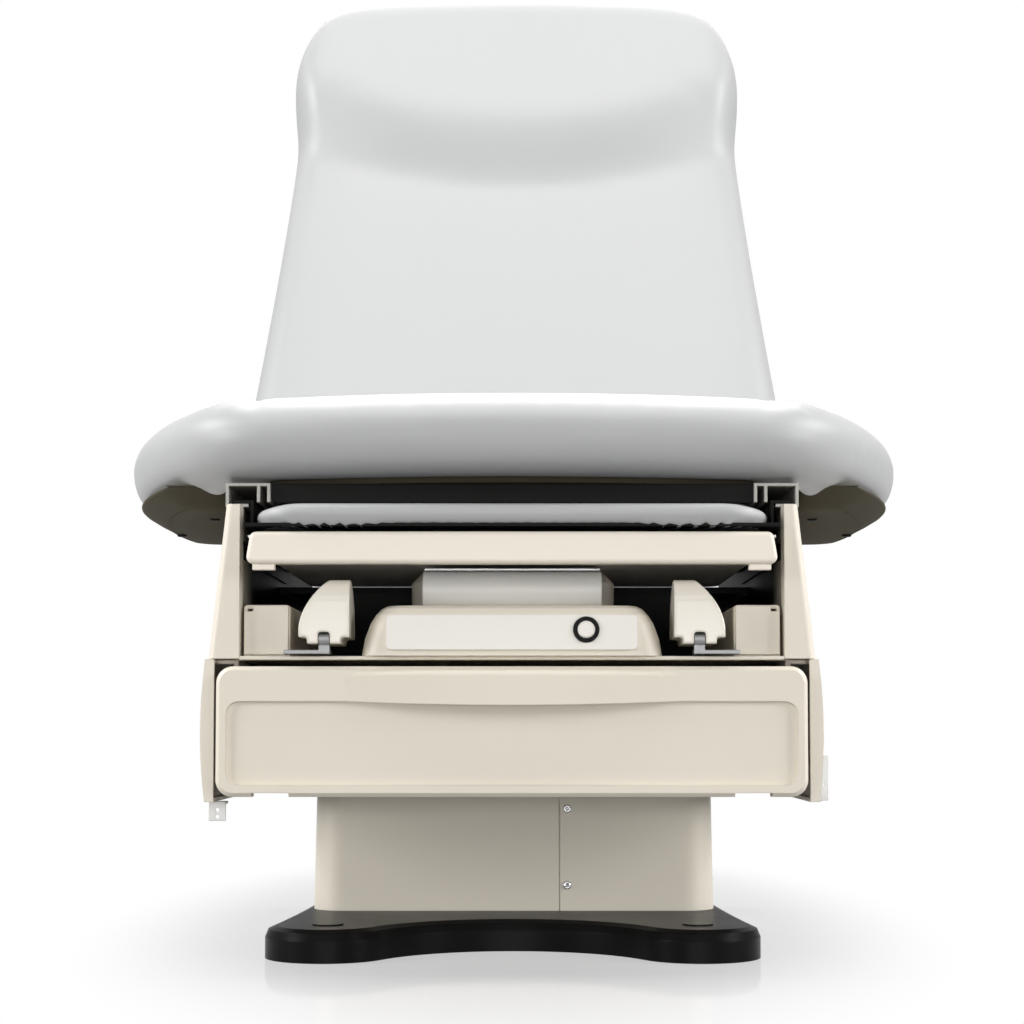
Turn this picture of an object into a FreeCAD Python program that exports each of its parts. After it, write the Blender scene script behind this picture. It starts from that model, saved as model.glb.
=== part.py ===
import FreeCAD, Part
import math
import os

# Power examination table, in millimetres. +X is the viewer's right from the foot end, +Y runs
# towards the head end, +Z is up. The origin is on the floor at the middle of the base.
# Modelled with the table at its lowest height, drawer shut and the back raised.

Vec = FreeCAD.Vector

# Clearances
SLIDE_GAP = 0.3
RUNNING_GAP = 0.05
PANEL_GAP = 0.5

# Base
BASE_HEIGHT = 27.0
BASE_WALL = 4.0
BASE_EDGE_ROUND = 9.0
BASE_PLATE_THICK = 8.0
FOOT_LOBE_RADIUS = 52.0
BASE_FRONT_Y = 362.0
BASE_FRONT_HOLLOW = 13.0
BASE_WAIST_ROOM = 4.0
BASE_WAIST_HOLLOW = 21.0
PLUG_RADIUS = 13.0
PLUG_PROUD = 1.0

# Telescopic column and its covers
COVER_HALF_WIDTH = 181.0
BASE_WAIST_HALF = COVER_HALF_WIDTH + BASE_WAIST_ROOM
FOOT_LOBE_X = BASE_WAIST_HALF + BASE_WAIST_HOLLOW - FOOT_LOBE_RADIUS
FOOT_LOBE_Y = BASE_FRONT_Y + FOOT_LOBE_RADIUS - BASE_FRONT_HOLLOW
COVER_FRONT_Y = -280.0
COVER_REAR_Y = 30.0
COVER_TOP_Z = 306.0
COVER_DRAFT = 5.0
COVER_CORNER = 28.0
COVER_WALL = 2.5
COVER_STEP = 6.0
COVER_RISE = 2.0
SEAM_X = 41.0
SEAM_GAP = 0.6
SEAM_FLANGE = 15.0
SEAM_FLANGE_THICK = 1.6
COVER_SCREW_X = 48.0
COVER_SCREW_HEIGHTS = (50.0, 118.0)
SCREW_HEAD_RADIUS = 3.8
SCREW_HEAD_HEIGHT = 2.4
SCREW_SHANK_RADIUS = 2.0
SCREW_LENGTH = 7.0
GUIDE_TUBE_WIDTH = 150.0
GUIDE_TUBE_WALL = 4.0
GUIDE_TUBE_STEP = 4.0
GUIDE_TUBE_Y = -125.0
GUIDE_TUBE_START_Z = 24.0
GLIDE_PAD_HEIGHT = 34.0
GLIDE_PAD_WIDTH = 40.0
CYLINDER_RADIUS = 40.0
CYLINDER_WALL = 6.0
PUMP_RADIUS = 31.0
PUMP_X = 112.0
PUMP_HEIGHT = 62.0
PUMP_MOTOR_HEIGHT = 96.0
PIPE_RADIUS = 4.0
PIPE_Z = 15.5
INLET_WIDTH = 48.0
INLET_HEIGHT = 27.5
INLET_DEPTH = 20.0
INLET_X = 140.0
INLET_Z = 178.0
SOCKET_WIDTH = 24.0
SOCKET_HEIGHT = 16.0
SOCKET_DEPTH = 17.0

# Table frame
TOP_PLATE_Z = 312.0
TOP_PLATE_THICK = 6.0
SIDE_PLATE_X = 213.0
SIDE_PLATE_THICK = 4.0
SIDE_PLATE_FRONT_Y = -520.0
SIDE_PLATE_BOTTOM_Z = 138.0
FRAME_REAR_Y = 112.0
FRAME_REAR_TOP_Z = 320.0
CROSSMEMBER_THICK = 5.0
CROSSMEMBER_FRONT_Y = 36.0
PANEL_THICK = 3.0
PANEL_CORNER = 12.0

# Seat
SEAT_NOSE_Y = -570.0
SEAT_REAR_Y = -41.0
SEAT_TOP_Z = 451.0
SEAT_BOTTOM_Z = 376.0
SEAT_FRONT_RADIUS = 768.0
SEAT_FRONT_ANGLE = 15.6
SEAT_CORNER_RADIUS = 95.0
SEAT_CORNER_ANGLE = 58.0
SEAT_SIDE_RADIUS = 620.0
SEAT_REAR_CORNER = 62.0
SEAT_BOARD_INSET = 52.0
SEAT_BOARD_Z = 383.0
SEAT_BOARD_THICK = 12.0
SEAT_PANEL_INSET = 34.0
SEAT_PANEL_DROP = 9.0
SEAT_PANEL_FRONT_Y = -400.0
SEAT_FRONT_ROOM = 120.0

# Rails under the seat and the foot extension that runs in them
RAIL_BOTTOM_Z = 364.0
RAIL_OUTER_X = 225.0
RAIL_SLOT_X = 207.0
RAIL_HOOK_X = 190.0
RAIL_HOOK_WIDTH = 10.5
RAIL_WALL = 2.5
RAIL_FRONT_Y = -514.0
RAIL_REAR_Y = -96.0
FOOT_PAD_HALF = 199.5
FOOT_PAD_FRONT_Y = -560.0
FOOT_PAD_REAR_Y = -85.0
FOOT_PAD_BOTTOM_Z = 347.5
FOOT_PAD_THICK = 19.0
FOOT_PAD_CORNER = 40.0
FOOT_BOARD_THICK = 2.5
FOOT_BOARD_FLANGE_X = 205.5

# Treatment pan
PAN_FRONT_Y = -556.0
PAN_FRONT_THICK = 11.0
PAN_FRONT_HALF = 204.0
PAN_FRONT_BOTTOM_Z = 316.0
PAN_FRONT_TOP_Z = 341.0
PAN_FRONT_LEAN = 4.0
PAN_TRAY_HALF = 188.0
PAN_TRAY_DEPTH = 320.0
PAN_TRAY_BOTTOM_Z = 321.0
PAN_FLANGE_HALF = 203.0
PAN_FLANGE_Z = 337.0
PAN_WALL = 2.0
PAN_CORNER = 14.0
PAN_FOOT_WIDTH = 17.0
PAN_FOOT_HEIGHT = 4.5

# Side covers
CHEEK_FRONT_Y = -540.0
CHEEK_REAR_Y = -40.0
CHEEK_BOTTOM_Z = 244.0
CHEEK_TOP_Z = 363.5
CHEEK_BOTTOM_X = 234.0
CHEEK_TOP_X = 221.0
CHEEK_INNER_X = 210.0
CHEEK_WALL = 3.2
CHEEK_EDGE_ROUND = 6.0
SKIRT_BOTTOM_Z = 134.0
SKIRT_TOP_Z = 243.5
SKIRT_INNER_X = 229.0
SKIRT_EDGE_X = 236.0
SKIRT_BULGE_X = 239.5
SKIRT_WALL = 3.0

# Front compartment
SHELF_Z = 243.0
SHELF_THICK = 3.0
SHELF_REAR_Y = -286.0
CONTROL_HALF_BOTTOM = 116.5
CONTROL_SIDE_ROUND = 19.0
CONTROL_FRONT_Y = -545.0
CONTROL_DEPTH = 105.0
CONTROL_HEIGHT = 39.0
CONTROL_CORNER = 18.0
CONTROL_EDGE = 7.0
FACE_HALF = 96.5
FACE_HEIGHT = 27.0
FACE_Z = 250.5
FACE_THICK = 2.5
FACE_CORNER = 4.0
BUTTON_X = 57.0
BUTTON_Z = 266.0
BUTTON_RADIUS = 6.6
BUTTON_DEPTH = 8.0
BUTTON_PROUD = 2.0
BUTTON_TRAVEL = 2.5
RING_RADIUS = 10.0
RING_PROUD = 1.2
TAG_HALF = 70.5
TAG_RADIUS = 13.2
TAG_THICK = 1.6
TAG_Y = -494.0
CLIP_THICK = 1.5
HEATER_HALF = 84.0
HEATER_REAR_Y = -300.0
HEATER_HEIGHT = 72.0
HEATER_CORNER = 20.0
HEATER_EDGE = 8.0

# Stirrups
STIRRUP_BOX_INNER_X = 172.0
STIRRUP_BOX_OUTER_X = 208.0
STIRRUP_BOX_HEIGHT = 40.0
STIRRUP_BOX_FRONT_Y = -528.0
STIRRUP_BOX_REAR_Y = -288.0
STIRRUP_BOX_WALL = 3.0
STIRRUP_BAR_INNER_X = 185.0
STIRRUP_BAR_HEIGHT = 26.0
STIRRUP_BAR_LENGTH = 400.0
STIRRUP_BAR_WALL = 2.0
STIRRUP_CAP_THICK = 4.5
STIRRUP_ARM_THICK = 3.0
HEEL_HINGE_Y = -543.0
HEEL_HINGE_Z = 259.0
HEEL_PIN_RADIUS = 3.0
HEEL_INNER_X = 124.5
HEEL_OUTER_X = 163.5
HEEL_HEIGHT = 46.0
HEEL_REACH = 50.0
HEEL_WALL = 4.0
HEEL_SHOULDER = 22.0
HEEL_HOLLOW_ROUND = 24.0
HEEL_FORK_GAP = 9.0
HEEL_PRONG = 8.5
HEEL_SOLE = 1.0
HEEL_LUG_RADIUS = 5.5

# Drawer
DRAWER_FRONT_Y = -545.0
DRAWER_FRONT_HALF = 227.0
DRAWER_FRONT_BOTTOM_Z = 138.0
DRAWER_FRONT_TOP_Z = 238.0
DRAWER_FRONT_THICK = 16.0
DRAWER_FRONT_CORNER = 13.0
DRAWER_FRONT_ROUND = 3.0
DRAWER_FIELD_DEPTH = 4.0
DRAWER_FIELD_TOP_Z = 211.0
DRAWER_FIELD_BOTTOM_Z = 147.0
DRAWER_FIELD_HALF = 219.0
DRAWER_FIELD_CORNER = 10.0
PULL_HALF = 128.0
PULL_PROUD = 15.0
PULL_DROP = 3.0
PULL_HOOD = 15.0
PULL_ROUND = 5.0
PULL_WALL = 4.0
RUNNER_ROOM = 15.0
DRAWER_BOX_HALF = SIDE_PLATE_X - RUNNER_ROOM
DRAWER_BOX_REAR_Y = -296.0
DRAWER_BOX_BOTTOM_Z = 146.0
DRAWER_BOX_TOP_Z = 228.0
DRAWER_WALL = 3.0
RUNNER_Z = 178.0
RUNNER_HEIGHT = 35.0
RUNNER_SHEET = 1.8

# Back
HINGE_Y = 0.0
HINGE_Z = 410.0
BACK_ANGLE = 62.0
BACK_TOP_S = 739.0
BACK_ROLL_RADIUS = 36.0
BACK_REAR_T = -37.0
BACK_FRONT_T = 35.0
BACK_BOTTOM_HALF = 297.0
BACK_WAIST_HALF = 258.0
BACK_WAIST_S = 509.0
BACK_HEAD_HALF = 260.5
BACK_HEAD_S = 592.0
BACK_TOP_CORNER = 135.0
BACK_TOP_RADIUS = 810.0
BACK_EDGE_ROUND = 30.0
PILLOW_PROUD = 26.0
BACK_BOARD_INSET = 48.0
BACK_BOARD_START_S = 50.0
BACK_BOARD_THICK = 12.0
BACK_FRAME_ROOM = 18.0
BACK_FRAME_START_S = 45.0
BACK_FRAME_END_S = 520.0
BACK_FRAME_SHEET = 3.0
BACK_RAIL_WIDTH = 25.0
BACK_RAIL_DEPTH = 21.0
BACK_SHELL_DEPTH = 43.0
BACK_SHELL_WALL = 3.0
BACK_SHELL_START_S = 118.0
BACK_SHELL_INSET = 40.0
BACK_SHELL_TAPER = 24.0
BACK_FRAME_HALF = BACK_WAIST_HALF - BACK_SHELL_INSET - BACK_FRAME_ROOM
LUG_X = 219.0
LUG_THICK = 4.0
EAR_RADIUS = 14.0
HINGE_PIN_RADIUS = 6.0
HINGE_NOTCH_HALF = 9.0
HINGE_NOTCH_LENGTH = 72.0

# Back actuator
ACTUATOR_PIN_S = 66.0
ACTUATOR_PIN_T = -56.0
ACTUATOR_PIN_RADIUS = 4.0
ACTUATOR_TUBE_RADIUS = 19.0
ACTUATOR_TUBE_TOP_Z = 334.0
ACTUATOR_ROD_RADIUS = 10.0
ACTUATOR_GEARBOX_Z = 169.0
ACTUATOR_GEARBOX_HEIGHT = 18.0
ACTUATOR_MOTOR_RADIUS = 22.0
ACTUATOR_MOTOR_X = 46.0
ACTUATOR_MOTOR_HEIGHT = 110.0
ACTUATOR_FOOT_Z = 155.0
ACTUATOR_FOOT_THICK = 12.0
FOOT_SLOT_FRONT = 19.0
FOOT_SLOT_REAR = 10.7
FOOT_SLOT_HALF_HEIGHT = 6.8
FOOT_EAR_WALL = 4.5
ROD_STROKE_DOWN = 88.0
ROD_EYE_RADIUS = 11.0
ROD_EYE_THICK = 10.0
ROD_NECK_DEPTH = 18.0
ROD_NECK_WIDTH = 18.0
BRACKET_EAR_THICK = 4.0
BRACKET_EAR_HALF = 10.0

# Small brackets and the electronics
HOOK_LENGTH = 15.0
HOOK_WIDTH = 13.0
ACCESSORY_HEIGHT = 35.0
ACCESSORY_REACH = 8.0
BRACKET_SHEET = 2.0
CONTROL_BOX_WIDTH = 140.0
CONTROL_BOX_HEIGHT = 145.0


# Shapes that many pieces share

def block(x_span, y_span, z_span):
    size = [span[1] - span[0] for span in (x_span, y_span, z_span)]
    return Part.makeBox(size[0], size[1], size[2], Vec(x_span[0], y_span[0], z_span[0]))


def rod(radius, start, end):
    return Part.makeCylinder(radius, (end - start).Length, start, end - start)


def prism(points, travel):
    outline = Part.makePolygon(points + points[:1])
    return Part.Face(outline).extrude(travel)


def arc(start, middle, end):
    return Part.Arc(start, middle, end).toShape()


def line(start, end):
    return Part.LineSegment(start, end).toShape()


def rounded_outline(x_span, y_span, radius, z):
    x0, x1 = x_span
    y0, y1 = y_span
    corners = ((x1 - radius, y0 + radius, -90), (x1 - radius, y1 - radius, 0),
               (x0 + radius, y1 - radius, 90), (x0 + radius, y0 + radius, 180))
    edges = []
    last = None
    for cx, cy, turn in corners:
        around = [Vec(cx + radius * math.cos(math.radians(turn + step)),
                      cy + radius * math.sin(math.radians(turn + step)), z) for step in (0, 45, 90)]
        if last is not None:
            edges.append(line(last, around[0]))
        edges.append(arc(*around))
        last = around[2]
    edges.append(line(last, edges[0].Vertexes[0].Point))
    return Part.Wire(Part.__sortEdges__(edges))


def rounded_block(x_span, y_span, z_span, radius):
    outline = rounded_outline(x_span, y_span, radius, z_span[0])
    return Part.Face(outline).extrude(Vec(0, 0, z_span[1] - z_span[0]))


def upright_plate(x_span, y_span, z_span, radius):
    # A plate that stands across Y, with its four corners rounded.
    flat = rounded_block(x_span, z_span, (-y_span[1], -y_span[0]), radius)
    flat.rotate(Vec(0, 0, 0), Vec(1, 0, 0), 90)
    return flat


def square_tube(width, wall, centre_y, z_span):
    half = width / 2
    hollow = half - wall
    outer = block((-half, half), (centre_y - half, centre_y + half), z_span)
    return outer.cut(block((-hollow, hollow), (centre_y - hollow, centre_y + hollow), z_span))


def mirrored(shape):
    return shape.mirror(Vec(0, 0, 0), Vec(1, 0, 0))


def softened(shape, radius, chosen):
    return shape.makeFillet(radius, [edge for edge in shape.Edges if chosen(edge)])


def bevelled(shape, size, chosen):
    return shape.makeChamfer(size, [edge for edge in shape.Edges if chosen(edge)])


def group(shapes):
    return Part.makeCompound(shapes)


def pan_head_screw(seat, direction):
    # A tapered head on its seat, with the shank running on along the direction.
    head = Part.makeCone(SCREW_HEAD_RADIUS, SCREW_HEAD_RADIUS * 0.6, SCREW_HEAD_HEIGHT, seat, -direction)
    return head.fuse(rod(SCREW_SHANK_RADIUS, seat, seat + direction * SCREW_LENGTH))


pieces = {}

# Where the actuator's upper pin stands with the back at its angle.
ACTUATOR_PIN_Y = (HINGE_Y + ACTUATOR_PIN_S * math.cos(math.radians(BACK_ANGLE))
                  - ACTUATOR_PIN_T * math.sin(math.radians(BACK_ANGLE)))
ACTUATOR_PIN_Z = (HINGE_Z + ACTUATOR_PIN_S * math.sin(math.radians(BACK_ANGLE))
                  + ACTUATOR_PIN_T * math.cos(math.radians(BACK_ANGLE)))

# Base: a black moulded cover of four rounded feet joined by hollow curves, over a steel plate.
FRONT_HOLLOW_RADIUS = ((FOOT_LOBE_X ** 2 + (FOOT_LOBE_Y - BASE_FRONT_Y) ** 2 - FOOT_LOBE_RADIUS ** 2)
                       / (2 * (FOOT_LOBE_RADIUS + FOOT_LOBE_Y - BASE_FRONT_Y)))
LOBE_TO_WAIST = BASE_WAIST_HALF - FOOT_LOBE_X
WAIST_HOLLOW_RADIUS = ((FOOT_LOBE_Y ** 2 + LOBE_TO_WAIST ** 2 - FOOT_LOBE_RADIUS ** 2)
                       / (2 * (FOOT_LOBE_RADIUS - LOBE_TO_WAIST)))


def base_outline(inset, z):
    lobe = Vec(FOOT_LOBE_X, FOOT_LOBE_Y, z)
    front = Vec(0, BASE_FRONT_Y + FRONT_HOLLOW_RADIUS, z)
    waist = Vec(BASE_WAIST_HALF + WAIST_HOLLOW_RADIUS, 0, z)
    radius = FOOT_LOBE_RADIUS - inset
    on_front = lobe + (front - lobe).normalize() * radius
    on_waist = lobe + (waist - lobe).normalize() * radius
    on_tip = lobe + Vec(math.sqrt(0.5), math.sqrt(0.5), 0) * radius
    waist_middle = Vec(BASE_WAIST_HALF - inset, 0, z)
    front_middle = Vec(0, BASE_FRONT_Y - inset, z)
    edges = []
    for turn_x, turn_y in ((1, 1), (-1, 1), (-1, -1), (1, -1)):
        edges.append(arc(*[Vec(p.x * turn_x, p.y * turn_y, z) for p in (on_front, on_tip, on_waist)]))
    for turn_y in (1, -1):
        ends = [Vec(side * on_front.x, turn_y * on_front.y, z) for side in (-1, 1)]
        edges.append(arc(ends[0], Vec(0, turn_y * front_middle.y, z), ends[1]))
    for turn_x in (1, -1):
        ends = [Vec(turn_x * on_waist.x, side * on_waist.y, z) for side in (-1, 1)]
        edges.append(arc(ends[0], Vec(turn_x * waist_middle.x, 0, z), ends[1]))
    return Part.Wire(Part.__sortEdges__(edges))


def base_solid(inset, z_span):
    return Part.Face(base_outline(inset, z_span[0])).extrude(Vec(0, 0, z_span[1] - z_span[0]))


FOOT_CENTRES = [(side * FOOT_LOBE_X, end * FOOT_LOBE_Y) for side in (-1, 1) for end in (-1, 1)]
COVER_Y = (COVER_FRONT_Y, COVER_REAR_Y)


def cover_solid(inset, z_span, draft):
    # The space inside a column cover whose outline is drawn in by the inset.
    radius = max(COVER_CORNER - inset, 2.0)
    wires = []
    for z, drawn in ((z_span[0], inset), (z_span[1], inset + draft)):
        half = COVER_HALF_WIDTH - drawn
        wires.append(rounded_outline((-half, half), (COVER_Y[0] + drawn, COVER_Y[1] - drawn), radius, z))
    return Part.makeLoft(wires, True, True)


def make_base():
    wires = [base_outline(0, PANEL_GAP)]
    for turn in (0, 45, 90):
        angle = math.radians(turn)
        rise = BASE_HEIGHT - BASE_EDGE_ROUND * (1 - math.sin(angle))
        wires.append(base_outline(BASE_EDGE_ROUND * (1 - math.cos(angle)), rise))
    cover = Part.makeLoft(wires, True, True)
    cover = cover.cut(base_solid(BASE_WALL, (0, BASE_HEIGHT - BASE_WALL)))
    cover = cover.cut(cover_solid(COVER_WALL + COVER_STEP, (0, BASE_HEIGHT), 0))
    plate = base_solid(BASE_WALL + PANEL_GAP, (0, BASE_PLATE_THICK))
    plugs = []
    for x, y in FOOT_CENTRES:
        seat = Vec(x, y, BASE_HEIGHT - BASE_WALL)
        top = Vec(x, y, BASE_HEIGHT + PLUG_PROUD)
        plug = rod(PLUG_RADIUS, seat, top)
        cover = cover.cut(plug)
        plugs.append(plug)
    pieces["base_cover"] = cover
    pieces["base_plate"] = plate
    pieces["foot_plugs"] = group(plugs)


# Column covers: three nested beige sleeves. The lowest is split at one seam and screwed together.
def cover_front_at(z):
    return COVER_FRONT_Y + COVER_DRAFT * (z - BASE_HEIGHT) / (COVER_TOP_Z - BASE_HEIGHT)


def make_covers():
    span = (BASE_HEIGHT, COVER_TOP_Z)
    sleeve = cover_solid(0, span, COVER_DRAFT).cut(cover_solid(COVER_WALL, span, COVER_DRAFT))
    lap = cover_solid(COVER_WALL, span, COVER_DRAFT)
    lap = lap.cut(cover_solid(COVER_WALL + SEAM_FLANGE_THICK, span, COVER_DRAFT))
    y_all = (COVER_FRONT_Y - 1, COVER_REAR_Y + 1)
    z_all = (0, COVER_TOP_Z + 1)
    left_side = block((-COVER_HALF_WIDTH - 1, SEAM_X - SEAM_GAP / 2), y_all, z_all)
    right_side = block((SEAM_X + SEAM_GAP / 2, COVER_HALF_WIDTH + 1), y_all, z_all)
    flange_side = block((SEAM_X - SEAM_FLANGE, SEAM_X + SEAM_FLANGE), y_all, z_all)
    left = sleeve.common(left_side).fuse(lap.common(flange_side))
    right = sleeve.common(right_side)
    screws = []
    for z in COVER_SCREW_HEIGHTS:
        seat = Vec(COVER_SCREW_X, cover_front_at(z), z)
        screw = pan_head_screw(seat, Vec(0, 1, 0))
        left = left.cut(screw)
        right = right.cut(screw)
        screws.append(screw)
    pieces["column_cover_left"] = left.removeSplitter()
    pieces["column_cover_right"] = right
    pieces["column_cover_screws"] = group(screws)
    inset = COVER_DRAFT + COVER_WALL + SEAM_FLANGE_THICK
    for step, name in enumerate(("middle_cover", "upper_cover"), 1):
        top = COVER_TOP_Z + COVER_RISE if step == 1 else TOP_PLATE_Z
        z_span = (BASE_HEIGHT + COVER_RISE * step, top)
        drawn = inset + SLIDE_GAP * 3 + COVER_STEP * (step - 1)
        pieces[name] = cover_solid(drawn, z_span, 0).cut(cover_solid(drawn + COVER_WALL, z_span, 0))


# Lifting column: three square guide tubes with glide pads round a three-part hydraulic cylinder.
def make_column():
    names = ("outer", "middle", "inner")
    starts = (BASE_PLATE_THICK, GUIDE_TUBE_START_Z, GUIDE_TUBE_START_Z + COVER_RISE)
    tops = (COVER_TOP_Z, COVER_TOP_Z + COVER_RISE, TOP_PLATE_Z)
    width = GUIDE_TUBE_WIDTH
    radius = CYLINDER_RADIUS
    for stage, name in enumerate(names):
        span = (starts[stage], tops[stage])
        tube = square_tube(width, GUIDE_TUBE_WALL, GUIDE_TUBE_Y, span)
        inner_half = width / 2 - GUIDE_TUBE_WALL
        if stage < 2:
            pad_thick = GUIDE_TUBE_STEP - SLIDE_GAP
            pads = []
            pad_z = (span[1] - GLIDE_PAD_HEIGHT - COVER_RISE, span[1] - COVER_RISE)
            across = (-GLIDE_PAD_WIDTH / 2, GLIDE_PAD_WIDTH / 2)
            along = (GUIDE_TUBE_Y - GLIDE_PAD_WIDTH / 2, GUIDE_TUBE_Y + GLIDE_PAD_WIDTH / 2)
            for side in (-1, 1):
                reach = sorted((side * inner_half, side * (inner_half - pad_thick)))
                pads.append(block(reach, along, pad_z))
                pads.append(block(across, [GUIDE_TUBE_Y + value for value in reach], pad_z))
            pieces[name + "_glide_pads"] = group(pads)
        if stage == 0:
            pipe_hole = PIPE_RADIUS + PANEL_GAP
            tube = tube.cut(rod(pipe_hole, Vec(0, GUIDE_TUBE_Y, PIPE_Z), Vec(width, GUIDE_TUBE_Y, PIPE_Z)))
        pieces[name + "_guide_tube"] = tube
        foot = Vec(0, GUIDE_TUBE_Y, starts[stage])
        barrel = rod(radius, foot, Vec(0, GUIDE_TUBE_Y, tops[stage]))
        if stage < 2:
            sole = (GUIDE_TUBE_START_Z - BASE_PLATE_THICK) * (1 - stage)
            bore_foot = Vec(0, GUIDE_TUBE_Y, starts[stage] + sole)
            barrel = barrel.cut(rod(radius - CYLINDER_WALL, bore_foot, Vec(0, GUIDE_TUBE_Y, tops[stage])))
        pieces["lift_cylinder_" + name] = barrel
        radius = radius - CYLINDER_WALL - SLIDE_GAP
        width = width - 2 * (GUIDE_TUBE_WALL + GUIDE_TUBE_STEP)


# Power pack: a pump with its motor beside the column, joined to the cylinder by a pressure pipe.
def make_power_pack():
    foot = Vec(PUMP_X, GUIDE_TUBE_Y, BASE_PLATE_THICK)
    joint = foot + Vec(0, 0, PUMP_HEIGHT)
    top = joint + Vec(0, 0, PUMP_MOTOR_HEIGHT)
    pump = rod(PUMP_RADIUS, foot, joint)
    motor = rod(PUMP_RADIUS - PIPE_RADIUS, joint, top)
    end = Vec(PUMP_X, GUIDE_TUBE_Y, PIPE_Z)
    pipe = rod(PIPE_RADIUS, Vec(0, GUIDE_TUBE_Y, PIPE_Z), end)
    barrel = rod(CYLINDER_RADIUS, Vec(0, GUIDE_TUBE_Y, 0), Vec(0, GUIDE_TUBE_Y, top.z))
    pieces["lift_power_unit"] = pump.fuse(motor).fuse(pipe.cut(barrel)).removeSplitter()


# Table frame: two steel side plates with hinge ears, a top plate on the column, a rear crossmember.
def make_frame():
    top_z = RAIL_BOTTOM_Z
    ear_z = HINGE_Z + EAR_RADIUS
    front = SIDE_PLATE_FRONT_Y
    ear_low = FRAME_REAR_TOP_Z + EAR_RADIUS
    outline = [Vec(SIDE_PLATE_X, y, z) for y, z in (
        (front, SIDE_PLATE_BOTTOM_Z), (FRAME_REAR_Y, SIDE_PLATE_BOTTOM_Z), (FRAME_REAR_Y, FRAME_REAR_TOP_Z),
        (HINGE_Y + EAR_RADIUS * 2, FRAME_REAR_TOP_Z), (HINGE_Y + EAR_RADIUS, ear_low),
        (HINGE_Y + EAR_RADIUS, HINGE_Z), (HINGE_Y - EAR_RADIUS, HINGE_Z), (HINGE_Y - EAR_RADIUS, top_z),
        (front, top_z))]
    plate = prism(outline, Vec(SIDE_PLATE_THICK, 0, 0))
    pivot = Vec(SIDE_PLATE_X, HINGE_Y, HINGE_Z)
    along = Vec(SIDE_PLATE_THICK, 0, 0)
    plate = plate.fuse(rod(EAR_RADIUS, pivot, pivot + along)).removeSplitter()
    plate = plate.cut(rod(HINGE_PIN_RADIUS, pivot, pivot + along))
    pieces["frame_side_plates"] = group([plate, mirrored(plate)])
    inner = SIDE_PLATE_X
    plate_y = (COVER_FRONT_Y + COVER_CORNER / 2, COVER_REAR_Y + COVER_CORNER / 2)
    top = block((-inner, inner), plate_y, (TOP_PLATE_Z, TOP_PLATE_Z + TOP_PLATE_THICK))
    for side in (-1, 1):
        y_mid = (plate_y[0] + plate_y[1]) / 2
        centre = Vec(side * (GUIDE_TUBE_WIDTH + inner * 2) / 4, y_mid, TOP_PLATE_Z)
        top = top.cut(rod(PUMP_RADIUS, centre, centre + Vec(0, 0, TOP_PLATE_THICK)))
    pieces["frame_top_plate"] = top
    y_span = (CROSSMEMBER_FRONT_Y, FRAME_REAR_Y)
    floor = block((-inner, inner), y_span, (SIDE_PLATE_BOTTOM_Z, SIDE_PLATE_BOTTOM_Z + CROSSMEMBER_THICK))
    wall_z = (SIDE_PLATE_BOTTOM_Z, SIDE_PLATE_BOTTOM_Z + CROSSMEMBER_THICK * 5)
    wall = block((-inner, inner), (CROSSMEMBER_FRONT_Y, CROSSMEMBER_FRONT_Y + CROSSMEMBER_THICK), wall_z)
    crossmember = floor.fuse(wall)
    slot_y = (ACTUATOR_PIN_Y - FOOT_SLOT_FRONT, ACTUATOR_PIN_Y + FOOT_SLOT_REAR)
    slot_z = (ACTUATOR_FOOT_Z - FOOT_SLOT_HALF_HEIGHT, ACTUATOR_FOOT_Z + FOOT_SLOT_HALF_HEIGHT)
    ear_y = (slot_y[0] - FOOT_EAR_WALL, slot_y[1] + FOOT_EAR_WALL)
    ear_gap = ACTUATOR_FOOT_THICK / 2 + PANEL_GAP
    for side in (-1, 1):
        ear_x = sorted((side * ear_gap, side * (ear_gap + BRACKET_EAR_THICK)))
        ear = block(ear_x, ear_y, (SIDE_PLATE_BOTTOM_Z, slot_z[1] + FOOT_EAR_WALL))
        crossmember = crossmember.fuse(ear.cut(block(ear_x, slot_y, slot_z)))
    pieces["rear_crossmember"] = crossmember.removeSplitter()
    panel = upright_plate((-SKIRT_INNER_X, SKIRT_INNER_X), (FRAME_REAR_Y, FRAME_REAR_Y + PANEL_THICK),
                          (SKIRT_BOTTOM_Z, FRAME_REAR_TOP_Z), PANEL_CORNER)
    half = SOCKET_WIDTH / 2 + PANEL_THICK
    high = SOCKET_HEIGHT / 2 + PANEL_THICK
    rear = FRAME_REAR_Y + PANEL_THICK
    x_span = (INLET_X - half, INLET_X + half)
    z_span = (INLET_Z - high, INLET_Z + high)
    body = block(x_span, (rear - INLET_DEPTH, rear), z_span)
    flange = upright_plate((INLET_X - INLET_WIDTH / 2, INLET_X + INLET_WIDTH / 2), (rear, rear + PANEL_THICK),
                           (INLET_Z - INLET_HEIGHT / 2, INLET_Z + INLET_HEIGHT / 2), FACE_CORNER)
    socket = block((INLET_X - SOCKET_WIDTH / 2, INLET_X + SOCKET_WIDTH / 2),
                   (rear + PANEL_THICK - SOCKET_DEPTH, rear + PANEL_THICK + 1),
                   (INLET_Z - SOCKET_HEIGHT / 2, INLET_Z + SOCKET_HEIGHT / 2))
    inlet = body.fuse(flange).cut(socket)
    for x in (-1, 0, 1):
        pin_x = INLET_X + x * SOCKET_WIDTH / 4
        pin_y = (rear + PANEL_THICK - SOCKET_DEPTH, rear - PANEL_THICK)
        inlet = inlet.fuse(block((pin_x - 1, pin_x + 1), pin_y, (INLET_Z - 2, INLET_Z + 2)))
    pieces["power_inlet"] = inlet.removeSplitter()
    pieces["rear_panel"] = panel.cut(body)


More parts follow.
